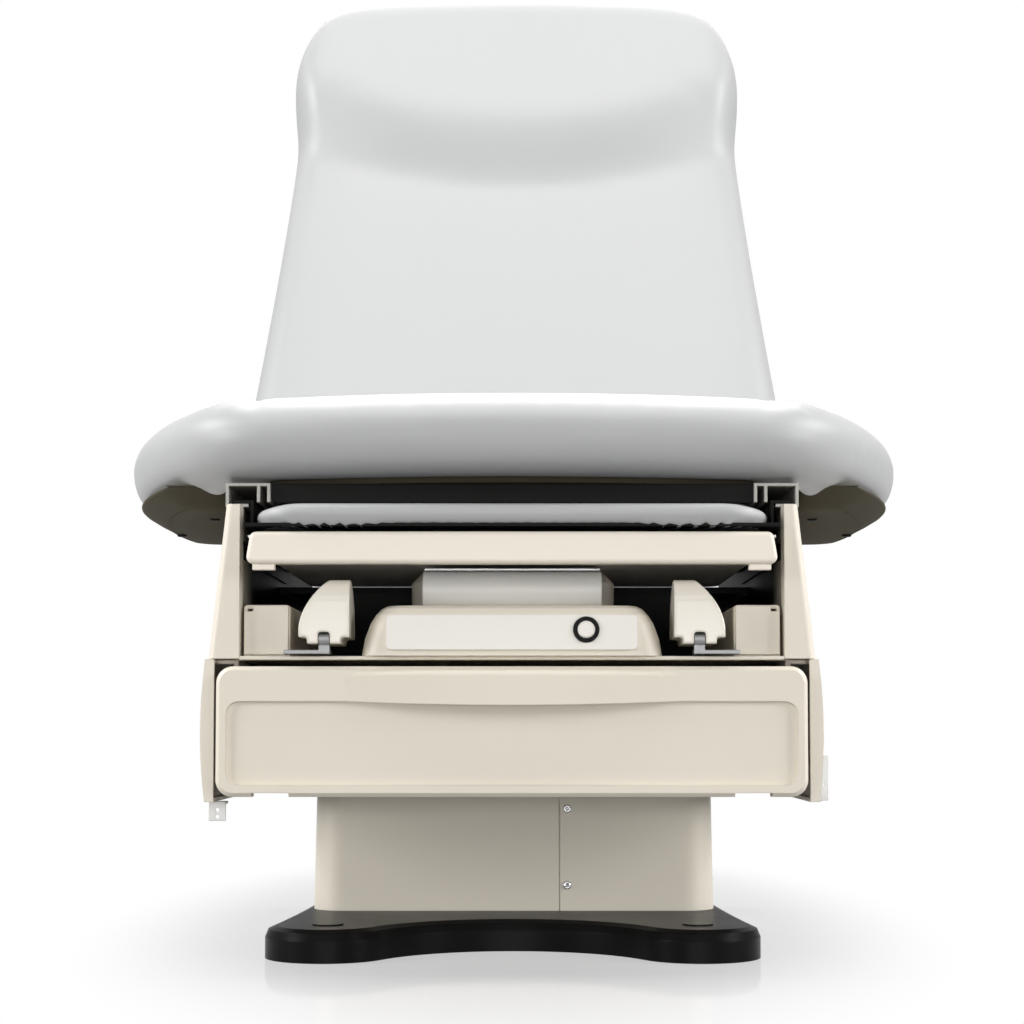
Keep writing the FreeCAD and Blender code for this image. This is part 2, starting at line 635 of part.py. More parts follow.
# Seat: foam under vinyl with a rounded rim, wrapped over a board that carries it on the rails.
def arc_chain(start, heading, turns, inset, z):
    # Points of a convex chain of tangent arcs: each turn is a radius and the heading it ends on.
    spots = []
    place = start
    for radius, end in turns:
        first, last = math.radians(heading), math.radians(end)
        centre = (place[0] - radius * math.sin(first), place[1] + radius * math.cos(first))
        place = (centre[0] + radius * math.sin(last), centre[1] - radius * math.cos(last))
        drawn = radius - inset
        spots.append([Vec(centre[0] + drawn * math.sin(angle), centre[1] - drawn * math.cos(angle), z)
                      for angle in (first, (first + last) / 2, last)])
        heading = end
    return spots


def seat_outline(inset, z):
    turns = [(SEAT_FRONT_RADIUS, SEAT_FRONT_ANGLE), (SEAT_CORNER_RADIUS, SEAT_CORNER_ANGLE)]
    before = arc_chain((0, SEAT_NOSE_Y), 0, turns, 0, z)[-1][2]
    widest = before.y + SEAT_SIDE_RADIUS * math.cos(math.radians(SEAT_CORNER_ANGLE))
    lean = (SEAT_REAR_Y - SEAT_REAR_CORNER - widest) / (SEAT_SIDE_RADIUS - SEAT_REAR_CORNER)
    turns += [(SEAT_SIDE_RADIUS, 90 + math.degrees(math.asin(lean))), (SEAT_REAR_CORNER, 180)]
    spots = arc_chain((0, SEAT_NOSE_Y), 0, turns, inset, z)
    flip = [[Vec(-p.x, p.y, p.z) for p in reversed(spot)] for spot in reversed(spots)]
    nose = arc(flip[-1][0], spots[0][0], spots[0][2])
    edges = [nose] + [arc(*spot) for spot in spots[1:]]
    edges.append(line(spots[-1][2], flip[0][0]))
    edges += [arc(*spot) for spot in flip[:-1]]
    return Part.Wire(edges)


def make_seat():
    roll = (SEAT_TOP_Z - SEAT_BOTTOM_Z) / 2
    wires = []
    for angle in (-80, -40, 0, 40, 70, 90):
        turn = math.radians(angle)
        wires.append(seat_outline(roll * (1 - math.cos(turn)), SEAT_BOTTOM_Z + roll + roll * math.sin(turn)))
    cushion = Part.makeLoft(wires, True, True)
    board_face = Part.Face(seat_outline(SEAT_BOARD_INSET, SEAT_BOARD_Z))
    board = board_face.extrude(Vec(0, 0, SEAT_BOARD_THICK))
    pocket = board_face.extrude(Vec(0, 0, SEAT_BOTTOM_Z - SEAT_BOARD_Z - 1))
    rail_half = RAIL_OUTER_X + SEAT_BOARD_THICK
    room_z = (SEAT_BOTTOM_Z, SEAT_BOARD_Z + SLIDE_GAP)
    front_room = block((-rail_half, rail_half), (SEAT_NOSE_Y, SEAT_NOSE_Y + SEAT_FRONT_ROOM), room_z)
    panel_z = SEAT_BOARD_Z - SEAT_PANEL_DROP
    panels = Part.Face(seat_outline(SEAT_PANEL_INSET, panel_z)).extrude(Vec(0, 0, SEAT_PANEL_DROP))
    reach = block((rail_half, rail_half * 2), (SEAT_PANEL_FRONT_Y, SEAT_REAR_Y), (panel_z, SEAT_BOARD_Z))
    board = board.fuse(panels.common(reach)).fuse(panels.common(mirrored(reach))).removeSplitter()
    pieces["seat_cushion"] = cushion.cut(board.fuse(pocket)).cut(front_room)
    pieces["seat_board"] = board


# Seat rails: an extruded profile a side, a C that takes the foot extension beside a hooked U,
# welded to a cross plate at the front.
def make_rails():
    top = SEAT_BOARD_Z
    y_span = (RAIL_FRONT_Y, RAIL_REAR_Y)
    hook_end = RAIL_HOOK_X + RAIL_HOOK_WIDTH
    hook_z = (FOOT_PAD_BOTTOM_Z + FOOT_PAD_THICK + RAIL_WALL / 2, top)
    walls = (((RAIL_HOOK_X, RAIL_OUTER_X), (top - RAIL_WALL, top)),
             ((RAIL_OUTER_X - RAIL_WALL, RAIL_OUTER_X), (RAIL_BOTTOM_Z, top)),
             ((RAIL_SLOT_X, RAIL_OUTER_X), (RAIL_BOTTOM_Z, RAIL_BOTTOM_Z + RAIL_WALL)),
             ((RAIL_HOOK_X, RAIL_HOOK_X + RAIL_WALL), hook_z),
             ((hook_end - RAIL_WALL, hook_end), hook_z))
    rail = block(walls[0][0], y_span, walls[0][1])
    for x_span, z_span in walls[1:]:
        rail = rail.fuse(block(x_span, y_span, z_span))
    plate_y = (RAIL_FRONT_Y + RAIL_WALL * 2, RAIL_FRONT_Y + RAIL_WALL * 3)
    cross_plate = block((-RAIL_HOOK_X, RAIL_HOOK_X), plate_y, hook_z)
    pieces["seat_rails"] = rail.fuse(cross_plate).fuse(mirrored(rail)).removeSplitter()


# Foot extension: a folded steel board whose turned-out edges run in the rails, under a thin pad.
def make_foot_extension():
    sheet = FOOT_BOARD_THICK
    y_span = (FOOT_PAD_FRONT_Y + sheet * 2, FOOT_PAD_REAR_Y + sheet * 4)
    run_z = RAIL_BOTTOM_Z + RAIL_WALL + SLIDE_GAP
    deck_z = (FOOT_PAD_BOTTOM_Z - sheet, FOOT_PAD_BOTTOM_Z)
    board = block((-FOOT_BOARD_FLANGE_X, FOOT_BOARD_FLANGE_X), y_span, deck_z)
    run_y = (RAIL_FRONT_Y - SLIDE_GAP, y_span[1])
    for side in (-1, 1):
        edge = sorted((side * (FOOT_BOARD_FLANGE_X - sheet), side * FOOT_BOARD_FLANGE_X))
        board = board.fuse(block(edge, run_y, (FOOT_PAD_BOTTOM_Z - sheet, run_z + sheet)))
        turned = sorted((side * FOOT_BOARD_FLANGE_X, side * (RAIL_OUTER_X - RAIL_WALL * 2)))
        board = board.fuse(block(turned, run_y, (run_z, run_z + sheet)))
    pieces["foot_board"] = board.removeSplitter()
    wires = []
    rim = ((0.0, 5.0), (0.3, 0.0), (0.65, 0.8), (0.88, 6.0), (1.0, 22.0))
    for share, inset in rim:
        half = FOOT_PAD_HALF - inset
        pad_y = (FOOT_PAD_FRONT_Y + inset, FOOT_PAD_REAR_Y - inset)
        rise = FOOT_PAD_BOTTOM_Z + share * FOOT_PAD_THICK
        wires.append(rounded_outline((-half, half), pad_y, FOOT_PAD_CORNER - inset, rise))
    pieces["foot_pad"] = Part.makeLoft(wires, True, True)


# Treatment pan: a shallow tray hung by its flanges on two guides, behind a moulded front.
def make_pan():
    front_y = (PAN_FRONT_Y, PAN_FRONT_Y + PAN_FRONT_THICK)
    outline = [Vec(x, PAN_FRONT_Y, z) for x, z in (
        (-PAN_FRONT_HALF, PAN_FRONT_BOTTOM_Z), (PAN_FRONT_HALF, PAN_FRONT_BOTTOM_Z),
        (PAN_FRONT_HALF - PAN_FRONT_LEAN, PAN_FRONT_TOP_Z),
        (PAN_FRONT_LEAN - PAN_FRONT_HALF, PAN_FRONT_TOP_Z))]
    front = prism(outline, Vec(0, PAN_FRONT_THICK, 0))
    front = softened(front, PAN_FRONT_THICK / 2, lambda e: e.BoundBox.YLength > PAN_FRONT_THICK - 0.1)
    front = softened(front, PAN_FRONT_THICK / 3, lambda e: e.BoundBox.YMax < PAN_FRONT_Y + 0.1)
    for side in (-1, 1):
        foot_end = PAN_FRONT_HALF - PAN_FRONT_THICK / 2
        foot_x = sorted((side * (foot_end - PAN_FOOT_WIDTH), side * foot_end))
        foot_y = (PAN_FRONT_Y + PAN_FRONT_THICK / 3, front_y[1])
        foot = block(foot_x, foot_y, (PAN_FRONT_BOTTOM_Z - PAN_FOOT_HEIGHT, PAN_FRONT_BOTTOM_Z))
        front = front.fuse(foot)
    pieces["pan_front"] = front.removeSplitter()
    rear = front_y[1] + PAN_TRAY_DEPTH
    tray_y = (front_y[1], rear)
    top = PAN_FLANGE_Z + PAN_WALL
    tray = rounded_block((-PAN_TRAY_HALF, PAN_TRAY_HALF), tray_y, (PAN_TRAY_BOTTOM_Z, top), PAN_CORNER)
    rim = block((-PAN_FLANGE_HALF, PAN_FLANGE_HALF), tray_y, (PAN_FLANGE_Z, top))
    inner_half = PAN_TRAY_HALF - PAN_WALL
    hollow = rounded_block((-inner_half, inner_half), (tray_y[0] + PAN_WALL, rear - PAN_WALL),
                           (PAN_TRAY_BOTTOM_Z + PAN_WALL, top), PAN_CORNER - PAN_WALL)
    pieces["pan_tray"] = tray.fuse(rim).cut(hollow).removeSplitter()
    guide_z = (PAN_FLANGE_Z - SLIDE_GAP - PAN_WALL, PAN_FLANGE_Z - SLIDE_GAP)
    guides = []
    for side in (-1, 1):
        ledge = sorted((side * (PAN_TRAY_HALF + PAN_WALL * 2), side * SIDE_PLATE_X))
        back = sorted((side * (SIDE_PLATE_X - PAN_WALL), side * SIDE_PLATE_X))
        guide = block(ledge, (SIDE_PLATE_FRONT_Y, rear), guide_z)
        web_z = (guide_z[0] - PAN_FRONT_THICK, guide_z[1])
        guide = guide.fuse(block(back, (SIDE_PLATE_FRONT_Y, rear), web_z))
        guides.append(guide.removeSplitter())
    pieces["pan_guides"] = group(guides)


# Side covers: sloping upper cheeks with a front jamb, and bulged lower skirts.
def make_side_covers():
    jamb = prism([Vec(x, CHEEK_FRONT_Y, z) for x, z in (
        (CHEEK_INNER_X, CHEEK_BOTTOM_Z), (CHEEK_BOTTOM_X, CHEEK_BOTTOM_Z),
        (CHEEK_TOP_X, CHEEK_TOP_Z), (CHEEK_INNER_X, CHEEK_TOP_Z))],
        Vec(0, SIDE_PLATE_FRONT_Y - CHEEK_FRONT_Y, 0))
    wall = prism([Vec(x, SIDE_PLATE_FRONT_Y, z) for x, z in (
        (CHEEK_BOTTOM_X - CHEEK_WALL, CHEEK_BOTTOM_Z), (CHEEK_BOTTOM_X, CHEEK_BOTTOM_Z),
        (CHEEK_TOP_X, CHEEK_TOP_Z), (CHEEK_TOP_X - CHEEK_WALL, CHEEK_TOP_Z))],
        Vec(0, CHEEK_REAR_Y - SIDE_PLATE_FRONT_Y, 0))
    cheek = jamb.fuse(wall).removeSplitter()
    cheek = softened(cheek, CHEEK_EDGE_ROUND, lambda e: e.BoundBox.YMax < CHEEK_FRONT_Y + 0.1
                     and e.BoundBox.XMin > CHEEK_INNER_X + 1 and e.BoundBox.ZLength > 50)
    pieces["side_cheeks"] = group([cheek, mirrored(cheek)])
    middle = (SKIRT_BOTTOM_Z + SKIRT_TOP_Z) / 2
    y0, length = CHEEK_FRONT_Y, FRAME_REAR_Y - CHEEK_FRONT_Y

    def skirt_solid(drop, y_start, y_length):
        low = Vec(SKIRT_EDGE_X - drop, y_start, SKIRT_BOTTOM_Z + drop)
        high = Vec(SKIRT_EDGE_X - drop, y_start, SKIRT_TOP_Z - drop)
        bulge = Vec(SKIRT_BULGE_X - drop, y_start, middle)
        inner_x = SIDE_PLATE_X + SIDE_PLATE_THICK
        inner_low = Vec(inner_x, y_start, low.z)
        inner_high = Vec(inner_x, y_start, high.z)
        edges = [arc(low, bulge, high), line(high, inner_high), line(inner_high, inner_low),
                 line(inner_low, low)]
        return Part.Face(Part.Wire(edges)).extrude(Vec(0, y_length, 0))

    skirt = skirt_solid(0, y0, length).cut(skirt_solid(SKIRT_WALL, y0 + SKIRT_WALL, length))
    inner_x = SIDE_PLATE_X + SIDE_PLATE_THICK
    notch = block((inner_x - 1, SKIRT_INNER_X), (y0 - 1, SIDE_PLATE_FRONT_Y), (0, SKIRT_TOP_Z + 1))
    skirt = skirt.cut(notch)
    below_z = (0, SKIRT_BOTTOM_Z + SKIRT_WALL * 2)
    below_plate = block((inner_x - 1, SKIRT_INNER_X), (y0, FRAME_REAR_Y), below_z)
    skirt = skirt.cut(below_plate)
    pieces["side_skirts"] = group([skirt, mirrored(skirt)])
    tab_y = (CHEEK_FRONT_Y + HOOK_WIDTH, CHEEK_FRONT_Y + HOOK_WIDTH + BRACKET_SHEET)
    hook_root = -SKIRT_INNER_X - BRACKET_SHEET
    hook_x = (hook_root - HOOK_WIDTH / 4, hook_root + HOOK_WIDTH * 3 / 4)
    hook = block(hook_x, tab_y, (SKIRT_BOTTOM_Z - HOOK_LENGTH, SKIRT_BOTTOM_Z))
    foot_y = (tab_y[0], tab_y[0] + HOOK_WIDTH)
    hook = hook.fuse(block(hook_x, foot_y, (SKIRT_BOTTOM_Z - BRACKET_SHEET, SKIRT_BOTTOM_Z)))
    for share in (0.3, 0.65):
        hole_z = SKIRT_BOTTOM_Z - HOOK_LENGTH * share - BRACKET_SHEET
        centre = Vec((hook_x[0] + hook_x[1]) / 2, tab_y[0], hole_z)
        hook = hook.cut(rod(BRACKET_SHEET * 0.8, centre, centre + Vec(0, BRACKET_SHEET, 0)))
    pieces["left_hook_bracket"] = hook.removeSplitter()
    plate_y = (SIDE_PLATE_FRONT_Y, SIDE_PLATE_FRONT_Y + HOOK_WIDTH)
    plate_z = (SKIRT_BOTTOM_Z, SKIRT_BOTTOM_Z + ACCESSORY_HEIGHT)
    tab_x = (SKIRT_EDGE_X, SKIRT_BULGE_X + ACCESSORY_REACH)
    tab = block(tab_x, (plate_y[1], plate_y[1] + BRACKET_SHEET), plate_z)
    leg = block((SKIRT_EDGE_X, SKIRT_BULGE_X + BRACKET_SHEET), plate_y, plate_z)
    hole = Vec(SKIRT_BULGE_X + ACCESSORY_REACH / 2, plate_y[1], SKIRT_BOTTOM_Z + ACCESSORY_HEIGHT * 0.35)
    plate = tab.fuse(leg).cut(rod(BRACKET_SHEET * 0.8, hole, hole + Vec(0, BRACKET_SHEET, 0)))
    pieces["right_accessory_plate"] = plate.removeSplitter().cut(skirt)


# Front compartment: a sheet shelf, the control housing with its face and button, the heater housing.
def make_compartment():
    deck = SHELF_Z + SHELF_THICK
    shelf = block((-SIDE_PLATE_X, SIDE_PLATE_X), (SIDE_PLATE_FRONT_Y, SHELF_REAR_Y), (SHELF_Z, deck))
    lip_half = CHEEK_INNER_X - SLIDE_GAP
    lip = block((-lip_half, lip_half), (CHEEK_FRONT_Y, SIDE_PLATE_FRONT_Y), (SHELF_Z, deck))
    shelf = shelf.fuse(lip).removeSplitter()
    pieces["shelf"] = softened(shelf, SHELF_THICK / 3, lambda e: e.BoundBox.YMax < CHEEK_FRONT_Y + 0.1
                               and e.BoundBox.XLength > lip_half)
    rear = CONTROL_FRONT_Y + CONTROL_DEPTH
    wires = []
    levels = ((0, 0, 0), (0.35, 0.13, 0), (0.65, 0.36, 0), (0.82, 0.58, 0), (0.94, 0.8, 0.36), (1, 1, 1))
    for rise, side, edge in levels:
        half = CONTROL_HALF_BOTTOM - CONTROL_SIDE_ROUND * side
        housing_y = (CONTROL_FRONT_Y + CONTROL_EDGE * edge, rear - CONTROL_EDGE * edge)
        wires.append(rounded_outline((-half, half), housing_y, CONTROL_CORNER, deck + CONTROL_HEIGHT * rise))
    housing = Part.makeLoft(wires, True, True)
    face_y = CONTROL_FRONT_Y - FACE_THICK
    face_z = (FACE_Z, FACE_Z + FACE_HEIGHT)
    face = upright_plate((-FACE_HALF, FACE_HALF), (face_y, CONTROL_FRONT_Y), face_z, FACE_CORNER)
    centre = Vec(BUTTON_X, 0, BUTTON_Z)
    ring_bore = BUTTON_RADIUS + SLIDE_GAP
    ring = rod(RING_RADIUS, centre + Vec(0, face_y - RING_PROUD, 0), centre + Vec(0, CONTROL_FRONT_Y, 0))
    pieces["control_face"] = face.cut(ring)
    bore = rod(ring_bore, centre + Vec(0, face_y - RING_PROUD, 0), centre + Vec(0, CONTROL_FRONT_Y, 0))
    pieces["button_ring"] = ring.cut(bore)
    front = face_y - RING_PROUD - BUTTON_PROUD
    inside = front + BUTTON_DEPTH + FACE_THICK
    button = rod(BUTTON_RADIUS, centre + Vec(0, front, 0), centre + Vec(0, inside, 0))
    pieces["heater_button"] = bevelled(button, BUTTON_PROUD / 2, lambda e: e.BoundBox.YMax < front + 0.01)
    well_end = inside + BUTTON_TRAVEL + PANEL_GAP
    well = rod(ring_bore, centre + Vec(0, CONTROL_FRONT_Y, 0), centre + Vec(0, well_end, 0))
    pieces["control_housing"] = housing.cut(well)
    heater_y = (rear + PANEL_GAP, HEATER_REAR_Y)
    heater = rounded_block((-HEATER_HALF, HEATER_HALF), heater_y, (deck, deck + HEATER_HEIGHT), HEATER_CORNER)
    heater = bevelled(heater, HEATER_EDGE, lambda e: e.BoundBox.ZMin > deck + HEATER_HEIGHT - 0.01)
    pieces["heater_housing"] = heater
    roll_z = deck + CONTROL_HEIGHT + TAG_RADIUS + TAG_THICK
    ends = [Vec(side * TAG_HALF, TAG_Y, roll_z) for side in (-1, 1)]
    tag = rod(TAG_RADIUS, *ends).cut(rod(TAG_RADIUS - TAG_THICK, *ends))
    wrap = rod(TAG_RADIUS + TAG_THICK, *ends).cut(rod(TAG_RADIUS, *ends))
    upper = block((-TAG_HALF, TAG_HALF), (TAG_Y - TAG_RADIUS * 2, TAG_Y), (deck, roll_z + TAG_RADIUS * 2))
    pieces["rolled_tag"] = tag.fuse(wrap.common(upper)).removeSplitter()
    clip_z = roll_z + TAG_RADIUS + TAG_THICK
    clip_half = TAG_HALF - TAG_THICK
    clip = block((-clip_half, clip_half), (TAG_Y - TAG_RADIUS, heater_y[0]), (clip_z, clip_z + CLIP_THICK))
    tail_y = (heater_y[0] - CLIP_THICK, heater_y[0])
    tail = block((-clip_half, clip_half), tail_y, (roll_z - TAG_RADIUS, clip_z))
    pieces["tag_clip"] = clip.fuse(tail).removeSplitter()


# Stirrups: a bar that slides in a housing each side, with a heel cup that flips out on its arm.
def make_stirrups():
    deck = SHELF_Z + SHELF_THICK
    box_x = (STIRRUP_BOX_INNER_X, STIRRUP_BOX_OUTER_X)
    box_y = (STIRRUP_BOX_FRONT_Y, STIRRUP_BOX_REAR_Y)
    wall = STIRRUP_BOX_WALL
    box = block(box_x, box_y, (deck, deck + STIRRUP_BOX_HEIGHT))
    box = softened(box, wall, lambda e: e.BoundBox.YLength > 100 and e.BoundBox.ZMin > deck + 1)
    hollow = block((box_x[0] + wall, box_x[1] - wall), box_y, (deck + wall, deck + STIRRUP_BOX_HEIGHT - wall))
    housing = box.cut(hollow)
    bar_x = (STIRRUP_BAR_INNER_X, box_x[1] - wall - SLIDE_GAP)
    bar_z = (deck + wall + SLIDE_GAP, deck + wall + SLIDE_GAP + STIRRUP_BAR_HEIGHT)
    bar_y = (box_y[0] - SLIDE_GAP, box_y[0] + STIRRUP_BAR_LENGTH)
    bar = block(bar_x, bar_y, bar_z)
    thin = STIRRUP_BAR_WALL
    bar = bar.cut(block((bar_x[0] + thin, bar_x[1] - thin), bar_y, (bar_z[0] + thin, bar_z[1] - thin)))
    cap_y = (bar_y[0] - STIRRUP_CAP_THICK, bar_y[0])
    arm_z = (deck + SLIDE_GAP * 5, deck + SLIDE_GAP * 5 + STIRRUP_ARM_THICK)
    cap = block((box_x[0] + 1, box_x[1] - 1), cap_y, (arm_z[0], deck + STIRRUP_BOX_HEIGHT - 1))
    lid_end = box_x[1] - wall * 2.5
    lid_z = (deck + STIRRUP_BOX_HEIGHT - wall * 1.7, deck + STIRRUP_BOX_HEIGHT)
    cap = cap.cut(block((lid_end, box_x[1]), cap_y, lid_z))
    fork_middle = (HEEL_INNER_X + HEEL_OUTER_X) / 2
    lug_x = (fork_middle - HEEL_FORK_GAP / 2 + SLIDE_GAP, fork_middle + HEEL_FORK_GAP / 2 - SLIDE_GAP)
    lug_radius = HEEL_LUG_RADIUS
    arm_y = (HEEL_HINGE_Y - lug_radius / 2, cap_y[1])
    arm = block((lug_x[0], box_x[0] + wall), arm_y, arm_z)
    pivot = Vec(0, HEEL_HINGE_Y, HEEL_HINGE_Z)
    lug = rod(lug_radius, pivot + Vec(lug_x[0], 0, 0), pivot + Vec(lug_x[1], 0, 0))
    lug_y = (HEEL_HINGE_Y - lug_radius / 2, HEEL_HINGE_Y + lug_radius)
    lug = lug.fuse(block(lug_x, lug_y, (arm_z[0], HEEL_HINGE_Z)))
    pin_half = HEEL_FORK_GAP / 2 + HEEL_PRONG
    pin_ends = [pivot + Vec(fork_middle + x, 0, 0) for x in (-pin_half, pin_half)]
    bar = bar.fuse(cap).fuse(arm).fuse(lug).fuse(rod(HEEL_PIN_RADIUS, *pin_ends)).removeSplitter()
    cup = make_heel_cup(pivot).cut(rod(HEEL_PIN_RADIUS + RUNNING_GAP, *pin_ends))
    pieces["stirrup_housings"] = group([housing, mirrored(housing)])
    for name, shape in (("stirrup_bar", bar), ("heel_cup", cup)):
        pieces[name + "_right"] = shape
        pieces[name + "_left"] = mirrored(shape)


def heel_profile(pivot, drop, x):
    # Side view of the cup: upright front, rolled top and a swept back edge, drawn in by the drop.
    nose = Vec(x, pivot.y - 6.5 + drop, pivot.z - 4.0)
    shoulder = Vec(x, pivot.y - 6.5 + drop, pivot.z + HEEL_HEIGHT * 0.6)
    crest = Vec(x, pivot.y + HEEL_REACH * 0.24, pivot.z + HEEL_HEIGHT - drop)
    roll = Vec(x, pivot.y - HEEL_REACH * 0.02 + drop * 0.7, pivot.z + HEEL_HEIGHT * 0.9 - drop * 0.7)
    sweep = Vec(x, pivot.y + HEEL_REACH * 0.78, pivot.z + HEEL_HEIGHT * 0.66)
    tail = Vec(x, pivot.y + HEEL_REACH, pivot.z - 4.0)
    edges = [line(nose, shoulder), arc(shoulder, roll, crest), arc(crest, sweep, tail), line(tail, nose)]
    return Part.Face(Part.Wire(edges))


def make_heel_cup(pivot):
    width = HEEL_OUTER_X - HEEL_INNER_X
    body = heel_profile(pivot, 0, HEEL_INNER_X).extrude(Vec(width, 0, 0))
    top = pivot.z + HEEL_HEIGHT
    bottom = pivot.z - 5.0
    front = pivot.y - 10
    slope = []
    for share, rise in ((0, 0.17), (0.14, 0.45), (0.45, 0.7), (1, 1)):
        slope.append(Vec(HEEL_OUTER_X - HEEL_SHOULDER * share, front, pivot.z + HEEL_HEIGHT * rise))
    curve = Part.BSplineCurve()
    curve.interpolate(slope)
    corners = [slope[-1], Vec(HEEL_INNER_X, front, top), Vec(HEEL_INNER_X, front, bottom),
               Vec(HEEL_OUTER_X, front, bottom), slope[0]]
    edges = [curve.toShape()] + [line(start, end) for start, end in zip(corners, corners[1:])]
    shoulder = Part.Face(Part.Wire(edges)).extrude(Vec(0, HEEL_REACH * 2, 0))
    body = body.common(shoulder)
    hollow_x = (HEEL_INNER_X + HEEL_WALL, HEEL_OUTER_X - HEEL_WALL * 1.5)
    hollow_z = (pivot.z + HEEL_WALL * 2, top - HEEL_WALL * 2)
    hollow = block(hollow_x, (pivot.y + HEEL_WALL, pivot.y + HEEL_REACH * 2), hollow_z)
    hollow = softened(hollow, HEEL_HOLLOW_ROUND, lambda e: e.BoundBox.YLength > HEEL_REACH
                      and e.BoundBox.XMin > hollow_x[1] - 0.1 and e.BoundBox.ZMin > hollow_z[1] - 0.1)
    body = body.cut(hollow)
    middle = (HEEL_INNER_X + HEEL_OUTER_X) / 2
    fork_x = (middle - HEEL_FORK_GAP / 2, middle + HEEL_FORK_GAP / 2)
    fork = rod(HEEL_LUG_RADIUS + 2, pivot + Vec(fork_x[0], 0, 0), pivot + Vec(fork_x[1], 0, 0))
    under = block(fork_x, (front, pivot.y + HEEL_LUG_RADIUS * 2), (bottom, pivot.z))
    body = body.cut(fork).cut(under)
    for prong_x in ((HEEL_INNER_X - 1, fork_x[0] - HEEL_PRONG), (fork_x[1] + HEEL_PRONG, HEEL_OUTER_X + 1)):
        body = body.cut(block(prong_x, (front, pivot.y + HEEL_REACH * 2), (bottom, pivot.z + HEEL_SOLE)))
    return body


# Drawer: a moulded front with an arched pull, a folded box and a pair of runners.
def lens(half, proud, z_span):
    ends = [Vec(x, DRAWER_FRONT_Y, z_span[0]) for x in (-half, half)]
    edge = arc(ends[0], Vec(0, DRAWER_FRONT_Y - proud, z_span[0]), ends[1])
    chord = line(ends[1], ends[0])
    return Part.Face(Part.Wire([edge, chord])).extrude(Vec(0, 0, z_span[1] - z_span[0]))


def make_drawer():
    rear = DRAWER_FRONT_Y + DRAWER_FRONT_THICK
    z_span = (DRAWER_FRONT_BOTTOM_Z, DRAWER_FRONT_TOP_Z)
    x_span = (-DRAWER_FRONT_HALF, DRAWER_FRONT_HALF)
    front = upright_plate(x_span, (DRAWER_FRONT_Y, rear), z_span, DRAWER_FRONT_CORNER)
    front = bevelled(front, DRAWER_FRONT_ROUND, lambda e: e.BoundBox.YMax < DRAWER_FRONT_Y + 0.01)
    field = upright_plate((-DRAWER_FIELD_HALF, DRAWER_FIELD_HALF),
                          (DRAWER_FRONT_Y, DRAWER_FRONT_Y + DRAWER_FIELD_DEPTH),
                          (DRAWER_FIELD_BOTTOM_Z, DRAWER_FIELD_TOP_Z), DRAWER_FIELD_CORNER)
    front = front.cut(field)
    low = DRAWER_FIELD_TOP_Z - PULL_DROP
    high = DRAWER_FRONT_TOP_Z - DRAWER_FRONT_ROUND
    pull = lens(PULL_HALF, PULL_PROUD, (low, high))
    pull = softened(pull, PULL_ROUND, lambda e: e.BoundBox.ZMin > high - 0.1 and e.BoundBox.YLength > 1)
    ends = [Vec(side * PULL_HALF, DRAWER_FRONT_Y - PULL_PROUD * 2, DRAWER_FIELD_TOP_Z) for side in (-1, 1)]
    middle = Vec(0, DRAWER_FRONT_Y - PULL_PROUD * 2, low)
    tops = [Vec(p.x, p.y, DRAWER_FRONT_TOP_Z) for p in ends]
    view = Part.Wire([arc(ends[0], middle, ends[1]), line(ends[1], tops[1]), line(tops[1], tops[0]),
                      line(tops[0], ends[0])])
    pull = pull.common(Part.Face(view).extrude(Vec(0, PULL_PROUD * 3, 0)))
    room_z = (low - 1, DRAWER_FRONT_TOP_Z - PULL_HOOD)
    hand_room = lens(PULL_HALF - PULL_WALL * 3, PULL_PROUD - PULL_WALL, room_z)
    front = front.fuse(pull.cut(hand_room))
    for side in (-1, 1):
        notch_x = sorted((side * DRAWER_FIELD_HALF * 0.78, side * DRAWER_FIELD_HALF * 0.91))
        notch_z = (0, DRAWER_FRONT_BOTTOM_Z + DRAWER_WALL)
        front = front.cut(block(notch_x, (DRAWER_FRONT_Y - 1, rear + 1), notch_z))
    pieces["drawer_front"] = front.removeSplitter()
    box_y = (rear, DRAWER_BOX_REAR_Y)
    wall = DRAWER_WALL
    inner = DRAWER_BOX_HALF - wall
    box_z = (DRAWER_BOX_BOTTOM_Z, DRAWER_BOX_TOP_Z)
    box = rounded_block((-DRAWER_BOX_HALF, DRAWER_BOX_HALF), box_y, box_z, wall * 3)
    hollow = rounded_block((-inner, inner), (box_y[0] + wall, box_y[1] - wall),
                           (DRAWER_BOX_BOTTOM_Z + wall, DRAWER_BOX_TOP_Z), wall * 2)
    pieces["drawer_box"] = box.cut(hollow)
    sheet = RUNNER_SHEET
    fixed = []
    moving = []
    fixed_y = (SIDE_PLATE_FRONT_Y + wall, SHELF_REAR_Y)
    moving_y = (SIDE_PLATE_FRONT_Y, DRAWER_BOX_REAR_Y - wall * 3)
    z_fixed = (RUNNER_Z, RUNNER_Z + RUNNER_HEIGHT)
    z_moving = (z_fixed[0] + sheet + SLIDE_GAP, z_fixed[1] - sheet - SLIDE_GAP)
    for side in (-1, 1):
        channel = block(sorted((side * (SIDE_PLATE_X - sheet), side * SIDE_PLATE_X)), fixed_y, z_fixed)
        lip_x = sorted((side * (DRAWER_BOX_HALF + sheet * 4), side * SIDE_PLATE_X))
        for z in (z_fixed[0], z_fixed[1] - sheet):
            channel = channel.fuse(block(lip_x, fixed_y, (z, z + sheet)))
        fixed.append(channel.removeSplitter())
        slide = block(sorted((side * DRAWER_BOX_HALF, side * (DRAWER_BOX_HALF + sheet))), moving_y, z_moving)
        edge_x = sorted((side * DRAWER_BOX_HALF, side * (SIDE_PLATE_X - sheet * 2)))
        for z in (z_moving[0], z_moving[1] - sheet):
            slide = slide.fuse(block(edge_x, moving_y, (z, z + sheet)))
        moving.append(slide.removeSplitter())
    pieces["drawer_runner_channels"] = group(fixed)
    pieces["drawer_runner_slides"] = group(moving)


